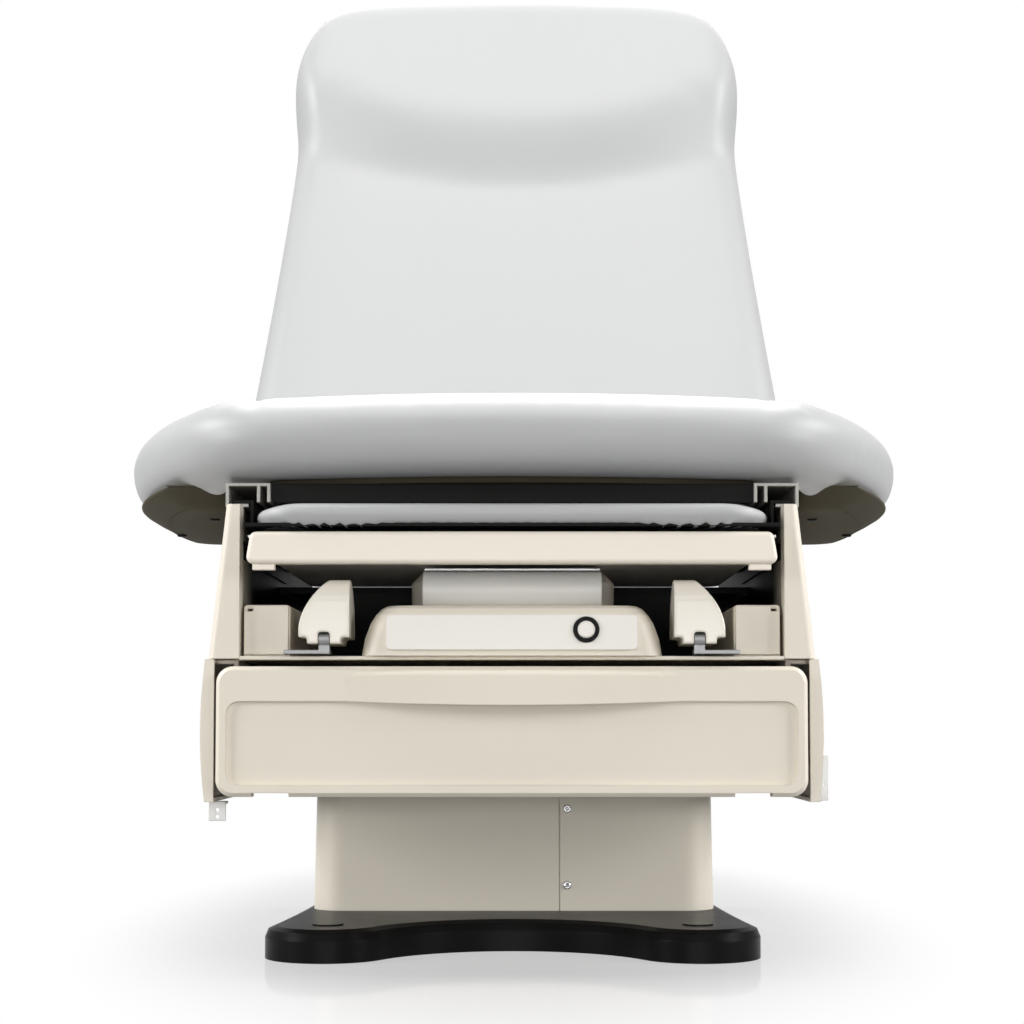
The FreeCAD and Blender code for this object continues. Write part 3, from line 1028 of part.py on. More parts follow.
# Back: built lying flat with its hinge on the X axis, S along the back and T up through the
# cushion, then turned up to its angle on the hinge.
def raised(shape):
    turned = shape.copy()
    turned.rotate(Vec(0, 0, 0), Vec(1, 0, 0), BACK_ANGLE)
    turned.translate(Vec(0, HINGE_Y, HINGE_Z))
    return turned


def back_half(s):
    if s <= BACK_WAIST_S:
        spread = (BACK_WAIST_S - max(s, 0)) / BACK_WAIST_S
        return BACK_WAIST_HALF + (BACK_BOTTOM_HALF - BACK_WAIST_HALF) * spread ** 1.25
    if s <= BACK_HEAD_S:
        share = (s - BACK_WAIST_S) / (BACK_HEAD_S - BACK_WAIST_S)
        return BACK_WAIST_HALF + (BACK_HEAD_HALF - BACK_WAIST_HALF) * share * share * (3 - 2 * share)
    over = min(s - BACK_HEAD_S, BACK_TOP_CORNER * 0.99)
    corner = BACK_HEAD_HALF - BACK_TOP_CORNER + math.sqrt(BACK_TOP_CORNER ** 2 - over ** 2)
    return min(corner, math.sqrt(2 * BACK_TOP_RADIUS * (BACK_TOP_S - s)))


def back_section(s, half, rear, front):
    middle = (rear + front) / 2
    edge = min(BACK_EDGE_ROUND, half * 0.4)
    bend = edge * (1 - math.sqrt(0.5))
    low = middle - (middle - rear) * math.sqrt(0.5)
    high = middle + (front - middle) * math.sqrt(0.5)
    right = [Vec(half - edge, s, rear), Vec(half - bend, s, low), Vec(half, s, middle),
             Vec(half - bend, s, high), Vec(half - edge, s, front)]
    left = [Vec(-p.x, s, p.z) for p in reversed(right)]
    return Part.makePolygon(right + left + right[:1])


def back_outline(inset, start, t):
    low_half = back_half(start) - inset
    half = BACK_HEAD_HALF - inset
    corner = BACK_TOP_CORNER - inset
    bend = corner * math.sqrt(0.5)
    right = [Vec(half, BACK_HEAD_S, t), Vec(half - corner + bend, BACK_HEAD_S + bend, t),
             Vec(half - corner, BACK_HEAD_S + corner, t)]
    left = [Vec(-p.x, p.y, t) for p in reversed(right)]
    feet = [Vec(-low_half, start, t), Vec(low_half, start, t)]
    edges = [line(feet[0], feet[1]), line(feet[1], right[0]), arc(*right), line(right[2], left[0]),
             arc(*left), line(left[2], feet[0])]
    return Part.Wire(edges)


def make_back_cushion():
    roll = BACK_ROLL_RADIUS
    stations = []
    for s in (-0.95 * roll, -0.6 * roll):
        rise = math.sqrt(roll ** 2 - s ** 2)
        stations.append((s, BACK_BOTTOM_HALF - roll + rise, -rise, rise))
    for s, pillow in ((10, 0), (200, 0), (440, 0), (500, 0.6), (570, 1.0), (670, 0.9)):
        stations.append((s, back_half(s), BACK_REAR_T, BACK_FRONT_T + PILLOW_PROUD * pillow))
    for left, rear, front in ((30, 0.85, 1.2), (7, 0.4, 0.45)):
        s = BACK_TOP_S - left
        stations.append((s, back_half(s), BACK_REAR_T * rear, BACK_FRONT_T * front))
    cushion = Part.makeLoft([back_section(*station) for station in stations], True, True)
    board = Part.Face(back_outline(BACK_BOARD_INSET, BACK_BOARD_START_S, BACK_REAR_T))
    board = board.extrude(Vec(0, 0, BACK_BOARD_THICK))
    pocket = Part.Face(back_outline(BACK_BOARD_INSET, BACK_BOARD_START_S, BACK_REAR_T - roll))
    cushion = cushion.cut(board.fuse(pocket.extrude(Vec(0, 0, roll))))
    ear_middle = (SIDE_PLATE_X + LUG_X + LUG_THICK) / 2
    notch_s = (-roll - 10, HINGE_NOTCH_LENGTH)
    notch_t = (BACK_REAR_T - 10, EAR_RADIUS + RAIL_WALL)
    for side in (-1, 1):
        notch_x = sorted((side * (ear_middle - HINGE_NOTCH_HALF), side * (ear_middle + HINGE_NOTCH_HALF)))
        cushion = cushion.cut(block(notch_x, notch_s, notch_t))
        board = board.cut(block(notch_x, notch_s, notch_t))
    pieces["back_cushion"] = raised(cushion)
    pieces["back_board"] = raised(board)


def make_back_frame():
    half = BACK_FRAME_HALF
    top = BACK_REAR_T
    sheet_t = (top - BACK_FRAME_SHEET, top)
    rail_t = (sheet_t[0] - BACK_RAIL_DEPTH, sheet_t[0])
    s_span = (BACK_FRAME_START_S, BACK_FRAME_END_S)
    frame = rounded_block((-half, half), s_span, sheet_t, BACK_RAIL_WIDTH / 2)
    reach = s_span[1] - s_span[0]
    for share in (0.36, 0.68):
        window_s = (s_span[0] + reach * (share - 0.1), s_span[0] + reach * (share + 0.16))
        frame = frame.cut(block((-half * 0.62, half * 0.62), window_s, sheet_t))
    pivot = Vec(0, 0, 0)
    for side in (-1, 1):
        rail_x = sorted((side * (half - BACK_RAIL_WIDTH), side * half))
        frame = frame.fuse(block(rail_x, s_span, rail_t))
        lug_x = sorted((side * LUG_X, side * (LUG_X + LUG_THICK)))
        ends = [pivot + Vec(x, 0, 0) for x in lug_x]
        lug = rod(EAR_RADIUS, *ends)
        outline = [Vec(lug_x[0], s, t) for s, t in (
            (-EAR_RADIUS, 0), (EAR_RADIUS, 0), (HINGE_NOTCH_LENGTH, sheet_t[0]),
            (HINGE_NOTCH_LENGTH, rail_t[0]), (EAR_RADIUS, rail_t[0]))]
        lug = lug.fuse(prism(outline, Vec(LUG_THICK, 0, 0)))
        bridge_x = sorted((side * half, side * (LUG_X + LUG_THICK)))
        bridge = block(bridge_x, (HINGE_NOTCH_LENGTH - BACK_RAIL_DEPTH, HINGE_NOTCH_LENGTH), rail_t)
        frame = frame.fuse(lug).fuse(bridge).cut(rod(HINGE_PIN_RADIUS + RUNNING_GAP, *ends))
    ear_gap = ROD_EYE_THICK / 2 + PANEL_GAP
    ear_s = (ACTUATOR_PIN_S - BRACKET_EAR_HALF, ACTUATOR_PIN_S + BRACKET_EAR_HALF)
    ear_t = (ACTUATOR_PIN_T - ACTUATOR_PIN_RADIUS * 2, sheet_t[0])
    pin_ends = [Vec(side * (ear_gap + BRACKET_EAR_THICK), ACTUATOR_PIN_S, ACTUATOR_PIN_T) for side in (-1, 1)]
    for side in (-1, 1):
        ear = block(sorted((side * ear_gap, side * (ear_gap + BRACKET_EAR_THICK))), ear_s, ear_t)
        frame = frame.fuse(ear)
    frame = frame.fuse(rod(ACTUATOR_PIN_RADIUS, *pin_ends))
    pieces["back_frame"] = raised(frame.removeSplitter())
    start = Vec(SIDE_PLATE_X, HINGE_Y, HINGE_Z)
    pin = rod(HINGE_PIN_RADIUS, start, start + Vec(LUG_X + LUG_THICK - SIDE_PLATE_X, 0, 0))
    pieces["hinge_pins"] = group([pin, mirrored(pin)])


def make_back_shell():
    rim_t = BACK_REAR_T - SLIDE_GAP
    deep_t = rim_t - BACK_SHELL_DEPTH
    wall = BACK_SHELL_WALL

    def tray(drop, floor):
        rim = back_outline(BACK_SHELL_INSET + drop, BACK_SHELL_START_S + drop, rim_t)
        deep = back_outline(BACK_SHELL_INSET + BACK_SHELL_TAPER + drop,
                            BACK_SHELL_START_S + BACK_SHELL_TAPER + drop, deep_t + floor)
        return Part.makeLoft([rim, deep], True, True)

    shell = tray(0, 0).cut(tray(wall, wall))
    gap = PANEL_GAP
    for side in (-1, 1):
        rail_x = sorted((side * (BACK_FRAME_HALF - BACK_RAIL_WIDTH - gap), side * (BACK_FRAME_HALF + gap)))
        rail_t = (BACK_REAR_T - BACK_FRAME_SHEET - BACK_RAIL_DEPTH - gap, BACK_REAR_T)
        entry = (BACK_FRAME_START_S, BACK_SHELL_START_S + BACK_SHELL_TAPER + wall * 2)
        shell = shell.cut(block(rail_x, entry, rail_t))
    sheet_t = (BACK_REAR_T - BACK_FRAME_SHEET - gap, BACK_REAR_T)
    sheet_s = (BACK_FRAME_START_S, BACK_SHELL_START_S + BACK_SHELL_TAPER)
    shell = shell.cut(block((-BACK_FRAME_HALF - gap, BACK_FRAME_HALF + gap), sheet_s, sheet_t))
    pieces["back_shell"] = raised(shell)


# Back actuator: an upright drive on a slotted foot. Its rod pushes the back up by an eye on a pin.
def make_actuator():
    tube_z = ACTUATOR_GEARBOX_Z + ACTUATOR_GEARBOX_HEIGHT
    reach = ACTUATOR_MOTOR_RADIUS
    middle = Vec(0, ACTUATOR_PIN_Y, 0)
    gearbox = block((-reach, ACTUATOR_MOTOR_X + reach), (middle.y - reach, middle.y + reach),
                    (ACTUATOR_GEARBOX_Z, tube_z))
    axis = [middle + Vec(0, 0, tube_z), middle + Vec(0, 0, ACTUATOR_TUBE_TOP_Z)]
    body = gearbox.fuse(rod(ACTUATOR_TUBE_RADIUS, *axis)).cut(rod(ACTUATOR_ROD_RADIUS + SLIDE_GAP, *axis))
    tongue = ACTUATOR_FOOT_THICK / 2
    foot = middle + Vec(0, 0, ACTUATOR_FOOT_Z)
    foot_end = rod(ACTUATOR_PIN_RADIUS * 1.5, foot - Vec(tongue, 0, 0), foot + Vec(tongue, 0, 0))
    foot_y = (middle.y - ACTUATOR_PIN_RADIUS * 1.5, middle.y + ACTUATOR_PIN_RADIUS * 1.5)
    body = body.fuse(foot_end).fuse(block((-tongue, tongue), foot_y, (ACTUATOR_FOOT_Z, ACTUATOR_GEARBOX_Z)))
    pin_reach = Vec(tongue + PANEL_GAP + BRACKET_EAR_THICK, 0, 0)
    body = body.fuse(rod(ACTUATOR_PIN_RADIUS, foot - pin_reach, foot + pin_reach))
    pieces["actuator_body"] = body.removeSplitter()
    motor_foot = Vec(ACTUATOR_MOTOR_X, ACTUATOR_PIN_Y, tube_z)
    motor_top = motor_foot + Vec(0, 0, ACTUATOR_MOTOR_HEIGHT)
    motor = rod(ACTUATOR_MOTOR_RADIUS, motor_foot, motor_top)
    pieces["actuator_motor"] = bevelled(motor, ACTUATOR_PIN_RADIUS,
                                        lambda e: e.BoundBox.ZMin > motor_top.z - 0.01)
    eye = middle + Vec(0, 0, ACTUATOR_PIN_Z)
    half = Vec(ROD_EYE_THICK / 2, 0, 0)
    head = rod(ROD_EYE_RADIUS, eye - half, eye + half)
    neck_y = (eye.y - ROD_NECK_WIDTH / 2, eye.y + ROD_NECK_WIDTH / 2)
    head = head.fuse(block((-half.x, half.x), neck_y, (eye.z - ROD_NECK_DEPTH, eye.z)))
    stem_foot = middle + Vec(0, 0, tube_z + ROD_STROKE_DOWN + PANEL_GAP * 4)
    stem = rod(ACTUATOR_ROD_RADIUS, stem_foot, eye - Vec(0, 0, ROD_NECK_DEPTH))
    bore = rod(ACTUATOR_PIN_RADIUS + RUNNING_GAP, eye - half, eye + half)
    pieces["actuator_rod"] = stem.fuse(head).cut(bore).removeSplitter()


# Control box: the electronics beside the actuator.
def make_control_box():
    floor = SIDE_PLATE_BOTTOM_Z + CROSSMEMBER_THICK
    case_y = (CROSSMEMBER_FRONT_Y + CROSSMEMBER_THICK + PANEL_GAP, FRAME_REAR_Y - PANEL_GAP)
    case_x = (-ACTUATOR_TUBE_RADIUS * 2 - CONTROL_BOX_WIDTH, -ACTUATOR_TUBE_RADIUS * 2)
    case = block(case_x, case_y, (floor, floor + CONTROL_BOX_HEIGHT))
    pieces["control_box"] = softened(case, CROSSMEMBER_THICK,
                                     lambda e: e.BoundBox.ZLength > CONTROL_BOX_HEIGHT / 2)


make_base()
make_covers()
make_column()
make_power_pack()
make_frame()
make_seat()
make_rails()
make_foot_extension()
make_pan()
make_side_covers()
make_compartment()
make_stirrups()
make_drawer()
make_back_cushion()
make_back_frame()
make_back_shell()
make_actuator()
make_control_box()

os.makedirs("parts", exist_ok=True)
for name, shape in pieces.items():
    shape.exportStep("parts/" + name + ".step")
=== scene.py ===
import bpy
import bmesh
import math
import mathutils
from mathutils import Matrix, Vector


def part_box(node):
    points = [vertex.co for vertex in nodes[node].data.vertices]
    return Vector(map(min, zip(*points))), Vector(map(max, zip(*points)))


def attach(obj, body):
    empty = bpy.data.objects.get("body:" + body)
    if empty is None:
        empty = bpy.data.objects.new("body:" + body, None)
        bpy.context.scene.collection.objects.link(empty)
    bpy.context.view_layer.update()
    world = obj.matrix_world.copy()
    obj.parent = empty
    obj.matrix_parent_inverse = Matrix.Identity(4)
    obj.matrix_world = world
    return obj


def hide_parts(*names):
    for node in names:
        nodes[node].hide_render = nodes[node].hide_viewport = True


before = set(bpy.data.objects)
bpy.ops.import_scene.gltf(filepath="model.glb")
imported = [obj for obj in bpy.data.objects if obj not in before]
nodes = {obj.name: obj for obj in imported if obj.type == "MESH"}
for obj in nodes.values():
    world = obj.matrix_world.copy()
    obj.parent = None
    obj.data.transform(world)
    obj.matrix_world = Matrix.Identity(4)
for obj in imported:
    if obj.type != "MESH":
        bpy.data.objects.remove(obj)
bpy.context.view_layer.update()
scene = bpy.context.scene
scene.view_settings.view_transform = "Standard"


# Base: a black moulded cover of four rounded feet with round plugs, clipped over a steel plate.
# Its plastic has a fine spark-eroded grain, a little shinier where it has been wiped.
def shader_group(name, inputs, outputs):
    tree = bpy.data.node_groups.new(name, "ShaderNodeTree")
    for label, value in inputs.items():
        socket = tree.interface.new_socket(name=label, in_out="INPUT", socket_type="NodeSocketFloat")
        socket.default_value = value
    for label in outputs:
        tree.interface.new_socket(name=label, in_out="OUTPUT", socket_type="NodeSocketFloat")
    return tree, tree.nodes.new("NodeGroupInput"), tree.nodes.new("NodeGroupOutput")


def moulded_grain_group():
    tree, given, result = shader_group("moulded_grain", {"Grain": 900.0, "Patch": 7.0}, ("Height", "Patch"))
    place = tree.nodes.new("ShaderNodeTexCoord")
    grain = tree.nodes.new("ShaderNodeTexNoise")
    grain.inputs["Detail"].default_value = 3.0
    patch = tree.nodes.new("ShaderNodeTexNoise")
    patch.inputs["Detail"].default_value = 4.0
    patch.inputs["Roughness"].default_value = 0.6
    tree.links.new(place.outputs["Object"], grain.inputs["Vector"])
    tree.links.new(place.outputs["Object"], patch.inputs["Vector"])
    tree.links.new(given.outputs["Grain"], grain.inputs["Scale"])
    tree.links.new(given.outputs["Patch"], patch.inputs["Scale"])
    tree.links.new(grain.outputs["Fac"], result.inputs["Height"])
    tree.links.new(patch.outputs["Fac"], result.inputs["Patch"])
    return tree


MOULDED_GRAIN = moulded_grain_group()
EDGE_ROUND = 0.0012


def surface(name, group, settings, colours, roughness, depth, reach=0.0002):
    # A finish whose group's patches drift between two colours and two roughnesses over its bumps.
    material = bpy.data.materials.new(name)
    material.use_nodes = True
    tree = material.node_tree
    shader = tree.nodes["Principled BSDF"]
    effect = tree.nodes.new("ShaderNodeGroup")
    effect.node_tree = group
    for label, value in settings.items():
        effect.inputs[label].default_value = value
    blend = tree.nodes.new("ShaderNodeMix")
    blend.data_type = "RGBA"
    blend.inputs["A"].default_value = (*colours[0], 1)
    blend.inputs["B"].default_value = (*colours[1], 1)
    tree.links.new(effect.outputs["Patch"], blend.inputs["Factor"])
    tree.links.new(blend.outputs["Result"], shader.inputs["Base Color"])
    shine = tree.nodes.new("ShaderNodeMapRange")
    shine.inputs["To Min"].default_value = roughness[0]
    shine.inputs["To Max"].default_value = roughness[1]
    tree.links.new(effect.outputs["Patch"], shine.inputs["Value"])
    tree.links.new(shine.outputs["Result"], shader.inputs["Roughness"])
    edge = tree.nodes.new("ShaderNodeBevel")
    edge.samples = 4
    edge.inputs["Radius"].default_value = EDGE_ROUND
    bump = tree.nodes.new("ShaderNodeBump")
    tree.links.new(edge.outputs["Normal"], bump.inputs["Normal"])
    bump.inputs["Strength"].default_value = depth
    bump.inputs["Distance"].default_value = reach
    tree.links.new(effect.outputs["Height"], bump.inputs["Height"])
    tree.links.new(bump.outputs["Normal"], shader.inputs["Normal"])
    return material


def shader_value(material, label, value):
    material.node_tree.nodes["Principled BSDF"].inputs[label].default_value = value


def dress(material, *names):
    for name in names:
        nodes[name].data.materials.clear()
        nodes[name].data.materials.append(material)


def dress_part(material, name, low, high):
    # A second finish on the faces of a node whose middles lie between two corners.
    mesh = nodes[name].data
    mesh.materials.append(material)
    for face in mesh.polygons:
        if all(low[i] <= face.center[i] <= high[i] for i in range(3)):
            face.material_index = len(mesh.materials) - 1


black_moulding = surface("black_moulding", MOULDED_GRAIN, {"Grain": 1100.0, "Patch": 9.0},
                         ((0.004, 0.004, 0.004), (0.009, 0.009, 0.009)), (0.26, 0.38), 0.30)
shader_value(black_moulding, "Specular IOR Level", 0.06)
dress(black_moulding, "base_cover", "foot_plugs", "button_ring", "power_inlet", "control_box")
black_enamel = surface("black_enamel", MOULDED_GRAIN, {"Grain": 420.0, "Patch": 14.0},
                       ((0.005, 0.005, 0.005), (0.011, 0.011, 0.010)), (0.40, 0.56), 0.25)
shader_value(black_enamel, "Specular IOR Level", 0.08)
dress(black_enamel, "base_plate")


# Column: three nested cream sleeves over steel guide tubes and a hydraulic cylinder.
# The lowest sleeve is in two halves, lapped at one seam and held there by two cross-recessed screws.
cream_moulding = surface("cream_moulding", MOULDED_GRAIN, {"Grain": 1000.0, "Patch": 5.0},
                         ((0.77, 0.71, 0.60), (0.83, 0.77, 0.66)), (0.36, 0.50), 0.30)
dress(cream_moulding, "column_cover_left", "column_cover_right", "middle_cover")


def brushed_lines_group():
    tree, given, result = shader_group("brushed_lines", {"Lines": 260.0, "Patch": 11.0}, ("Height", "Patch"))
    place = tree.nodes.new("ShaderNodeTexCoord")
    stretch = tree.nodes.new("ShaderNodeMapping")
    stretch.inputs["Scale"].default_value = (1.0, 1.0, 0.03)
    lines = tree.nodes.new("ShaderNodeTexNoise")
    lines.inputs["Detail"].default_value = 4.0
    patch = tree.nodes.new("ShaderNodeTexNoise")
    patch.inputs["Detail"].default_value = 3.0
    tree.links.new(place.outputs["Object"], stretch.inputs["Vector"])
    tree.links.new(stretch.outputs["Vector"], lines.inputs["Vector"])
    tree.links.new(place.outputs["Object"], patch.inputs["Vector"])
    tree.links.new(given.outputs["Lines"], lines.inputs["Scale"])
    tree.links.new(given.outputs["Patch"], patch.inputs["Scale"])
    tree.links.new(lines.outputs["Fac"], result.inputs["Height"])
    tree.links.new(patch.outputs["Fac"], result.inputs["Patch"])
    return tree


BRUSHED_LINES = brushed_lines_group()
brushed_steel = surface("brushed_steel", BRUSHED_LINES, {"Lines": 300.0, "Patch": 12.0},
                        ((0.42, 0.42, 0.43), (0.56, 0.56, 0.57)), (0.26, 0.40), 0.20)
shader_value(brushed_steel, "Metallic", 1.0)
dress(brushed_steel, "outer_guide_tube", "middle_guide_tube", "inner_guide_tube", "lift_cylinder_outer",
      "lift_cylinder_middle", "lift_cylinder_inner", "hinge_pins", "actuator_body", "actuator_rod", "tag_clip")


def closed_form(name, rings, first_pole, last_pole):
    # A closed skin through rings of equally many points, shut by a pole at each end.
    mesh = bpy.data.meshes.new(name)
    count = len(rings[0])
    points = [tuple(point) for ring in rings for point in ring] + [tuple(first_pole), tuple(last_pole)]
    faces = []
    for ring in range(len(rings) - 1):
        low = ring * count
        for i in range(count):
            j = (i + 1) % count
            faces.append((low + i, low + j, low + count + j, low + count + i))
    top = (len(rings) - 1) * count
    for i in range(count):
        j = (i + 1) % count
        faces.append((j, i, len(points) - 2))
        faces.append((top + i, top + j, len(points) - 1))
    mesh.from_pydata(points, [], faces)
    form = bmesh.new()
    form.from_mesh(mesh)
    bmesh.ops.recalc_face_normals(form, faces=form.faces)
    form.to_mesh(mesh)
    form.free()
    mesh.shade_smooth()
    piece = bpy.data.objects.new(name, mesh)
    scene.collection.objects.link(piece)
    return piece


def screw_head(radius, height):
    # A pan head with a cross recess, standing up from its seat.
    points = 48
    dome = ((1.0, 0.0), (1.0, 0.35), (0.97, 0.62), (0.88, 0.84), (0.74, 0.97), (0.62, 1.0))
    turns = [math.tau * i / points for i in range(points)]
    rings = [[(radius * out * math.cos(turn), radius * out * math.sin(turn), height * up) for turn in turns]
             for out, up in dome]
    for long, wide, up in ((0.52, 0.13, 1.0), (0.40, 0.10, 0.45)):
        ring = []
        for turn in turns:
            most, least = sorted((abs(math.cos(turn)), abs(math.sin(turn))), reverse=True)
            out = radius * min(long / most, wide / max(least, 1e-6))
            ring.append((out * math.cos(turn), out * math.sin(turn), height * up))
        rings.append(ring)
    return closed_form("screw_head", rings, (0, 0, 0), (0, 0, height * 0.40))


def screws_tree():
    tree = bpy.data.node_groups.new("screws_in_place", "GeometryNodeTree")
    for label, kind in (("Places", "Geometry"), ("Head", "Object"), ("Facing", "Vector"),
                        ("Turn Seed", "Int"), ("Finish", "Material")):
        tree.interface.new_socket(name=label, in_out="INPUT", socket_type="NodeSocket" + kind)
    tree.interface.new_socket(name="Screws", in_out="OUTPUT", socket_type="NodeSocketGeometry")
    given = tree.nodes.new("NodeGroupInput")
    result = tree.nodes.new("NodeGroupOutput")
    head = tree.nodes.new("GeometryNodeObjectInfo")
    placed = tree.nodes.new("GeometryNodeInstanceOnPoints")
    turn = tree.nodes.new("FunctionNodeRandomValue")
    turn.data_type = "FLOAT"
    turn.inputs[3].default_value = math.tau
    about = tree.nodes.new("ShaderNodeCombineXYZ")
    turned = tree.nodes.new("GeometryNodeRotateInstances")
    real = tree.nodes.new("GeometryNodeRealizeInstances")
    finish = tree.nodes.new("GeometryNodeSetMaterial")
    tree.links.new(given.outputs["Places"], placed.inputs["Points"])
    tree.links.new(given.outputs["Head"], head.inputs["Object"])
    tree.links.new(head.outputs["Geometry"], placed.inputs["Instance"])
    tree.links.new(given.outputs["Facing"], placed.inputs["Rotation"])
    tree.links.new(given.outputs["Turn Seed"], turn.inputs["Seed"])
    tree.links.new(turn.outputs[1], about.inputs["Z"])
    tree.links.new(placed.outputs["Instances"], turned.inputs["Instances"])
    tree.links.new(about.outputs["Vector"], turned.inputs["Rotation"])
    tree.links.new(turned.outputs["Instances"], real.inputs["Geometry"])
    tree.links.new(real.outputs["Geometry"], finish.inputs["Geometry"])
    tree.links.new(given.outputs["Finish"], finish.inputs["Material"])
    tree.links.new(finish.outputs["Geometry"], result.inputs["Screws"])
    return tree


SCREWS_TREE = screws_tree()


def plain_copy(name, piece):
    # The piece as its modifiers leave it, as a mesh of its own; the piece itself is done with.
    drawn = piece.evaluated_get(bpy.context.evaluated_depsgraph_get())
    copy = bpy.data.objects.new(name, bpy.data.meshes.new_from_object(drawn))
    scene.collection.objects.link(copy)
    bpy.data.objects.remove(piece)
    return copy


def screws(name, places, facing, radius, height, finish, seed):
    head = screw_head(radius, height)
    seats = bpy.data.meshes.new(name)
    seats.from_pydata(places, [], [])
    piece = bpy.data.objects.new(name + "_seats", seats)
    scene.collection.objects.link(piece)
    run = piece.modifiers.new("screws", "NODES")
    run.node_group = SCREWS_TREE
    values = {"Head": head, "Facing": facing, "Turn Seed": seed, "Finish": finish}
    for socket in SCREWS_TREE.interface.items_tree:
        if socket.name in values:
            run[socket.identifier] = values[socket.name]
    driven = plain_copy(name, piece)
    bpy.data.objects.remove(head)
    return driven


COVER_SCREW_X = 0.048
COVER_SCREW_HEIGHTS = (0.050, 0.118)
SCREW_HEAD_RADIUS = 0.0038
SCREW_HEAD_HEIGHT = 0.0024
cover_seats = []
for height in COVER_SCREW_HEIGHTS:
    near = [v.co.y for v in nodes["column_cover_screws"].data.vertices if abs(v.co.z - height) < 0.006]
    cover_seats.append((COVER_SCREW_X, min(near) + SCREW_HEAD_HEIGHT, height))
bright_steel = surface("bright_steel", BRUSHED_LINES, {"Lines": 500.0, "Patch": 30.0},
                       ((0.62, 0.62, 0.63), (0.74, 0.74, 0.75)), (0.14, 0.22), 0.10)
shader_value(bright_steel, "Metallic", 1.0)
cover_screws = screws("cover_screws", cover_seats, (math.pi / 2, 0.0, 0.0),
                      SCREW_HEAD_RADIUS, SCREW_HEAD_HEIGHT, bright_steel, 3)
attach(cover_screws, "base")
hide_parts("column_cover_screws")
white_moulding = surface("white_moulding", MOULDED_GRAIN, {"Grain": 1200.0, "Patch": 8.0},
                         ((0.80, 0.79, 0.76), (0.86, 0.85, 0.83)), (0.34, 0.46), 0.15)
dress(white_moulding, "outer_glide_pads", "middle_glide_pads")
dress(black_enamel, "lift_power_unit")


# Frame: enamelled steel side plates, a top plate and a rear crossmember, carried by the column.
# A cream moulded panel closes it at the rear. The parts that reach deep inside carry painted shade: their
# cream fades to black there, for the dark inside the compartment.
dress(black_enamel, "frame_top_plate", "rear_crossmember")
cream_enamel = surface("cream_enamel", MOULDED_GRAIN, {"Grain": 380.0, "Patch": 10.0},
                       ((0.75, 0.69, 0.585), (0.80, 0.74, 0.63)), (0.38, 0.52), 0.15)


def painted_shade_fade_group():
    # Painted shade: a mask rising from 0 to 1 along one of a piece's three directions. Where it is 1, the
    # piece's colour is darkened to black for the shade deep inside.
    settings = {"Along": 1.0, "Up": 0.0, "Start": 0.0, "End": 0.1}
    tree, given, result = shader_group("overspray", settings, ("Mask",))
    place = tree.nodes.new("ShaderNodeTexCoord")
    axis = tree.nodes.new("ShaderNodeCombineXYZ")
    reach = tree.nodes.new("ShaderNodeVectorMath")
    reach.operation = "DOT_PRODUCT"
    shade_ramp = tree.nodes.new("ShaderNodeMapRange")
    shade_ramp.interpolation_type = "SMOOTHSTEP"
    tree.links.new(given.outputs["Along"], axis.inputs["Y"])
    tree.links.new(given.outputs["Up"], axis.inputs["Z"])
    tree.links.new(place.outputs["Object"], reach.inputs[0])
    tree.links.new(axis.outputs["Vector"], reach.inputs[1])
    tree.links.new(reach.outputs["Value"], shade_ramp.inputs["Value"])
    tree.links.new(given.outputs["Start"], shade_ramp.inputs["From Min"])
    tree.links.new(given.outputs["End"], shade_ramp.inputs["From Max"])
    tree.links.new(shade_ramp.outputs["Result"], result.inputs["Mask"])
    return tree


PAINTED_SHADE_FADE = painted_shade_fade_group()


def add_painted_shade(material, name, settings):
    # The same finish with painted shade: its colour fades to black towards the unseen end of the piece, for
    # the dark there.
    copy = material.copy()
    copy.name = name
    tree = copy.node_tree
    shader = tree.nodes["Principled BSDF"]
    mask = tree.nodes.new("ShaderNodeGroup")
    mask.node_tree = PAINTED_SHADE_FADE
    for label, value in settings.items():
        mask.inputs[label].default_value = value
    over = tree.nodes.new("ShaderNodeMix")
    over.data_type = "RGBA"
    over.inputs["B"].default_value = (0.003, 0.003, 0.003, 1)
    shader.inputs["Specular IOR Level"].default_value = 0.04
    tree.links.new(shader.inputs["Base Color"].links[0].from_socket, over.inputs["A"])
    tree.links.new(mask.outputs["Mask"], over.inputs["Factor"])
    tree.links.new(over.outputs["Result"], shader.inputs["Base Color"])
    return copy


SIDE_PAINTED_SHADE = {"Along": 1.0, "Up": 0.0, "Start": -0.515, "End": -0.435}
SLEEVE_PAINTED_SHADE = {"Along": 0.0, "Up": 1.0, "Start": 0.215, "End": 0.240}
# Painted shade: the side plates' cream fades to black towards the back of the compartment, and the upper
# cover's fades to black towards its top.
dress(add_painted_shade(cream_enamel, "sprayed_side_enamel", SIDE_PAINTED_SHADE), "frame_side_plates")
dress(add_painted_shade(cream_moulding, "sprayed_sleeve", SLEEVE_PAINTED_SHADE), "upper_cover")
dress(cream_moulding, "rear_panel")


# Seat: foam under one skin of soft vinyl, over a painted board that is fixed on the rails.
# The skin is turned under the foam and drawn tight, with small gathers beside the rails.
def vinyl_skin_group():
    tree, given, result = shader_group("vinyl_skin", {"Grain": 420.0, "Patch": 5.0}, ("Height", "Patch"))
    place = tree.nodes.new("ShaderNodeTexCoord")
    cells = tree.nodes.new("ShaderNodeTexVoronoi")
    cells.feature = "SMOOTH_F1"
    patch = tree.nodes.new("ShaderNodeTexNoise")
    patch.inputs["Detail"].default_value = 2.0
    tree.links.new(place.outputs["Object"], cells.inputs["Vector"])
    tree.links.new(place.outputs["Object"], patch.inputs["Vector"])
    tree.links.new(given.outputs["Grain"], cells.inputs["Scale"])
    tree.links.new(given.outputs["Patch"], patch.inputs["Scale"])
    tree.links.new(cells.outputs["Distance"], result.inputs["Height"])
    tree.links.new(patch.outputs["Fac"], result.inputs["Patch"])
    return tree


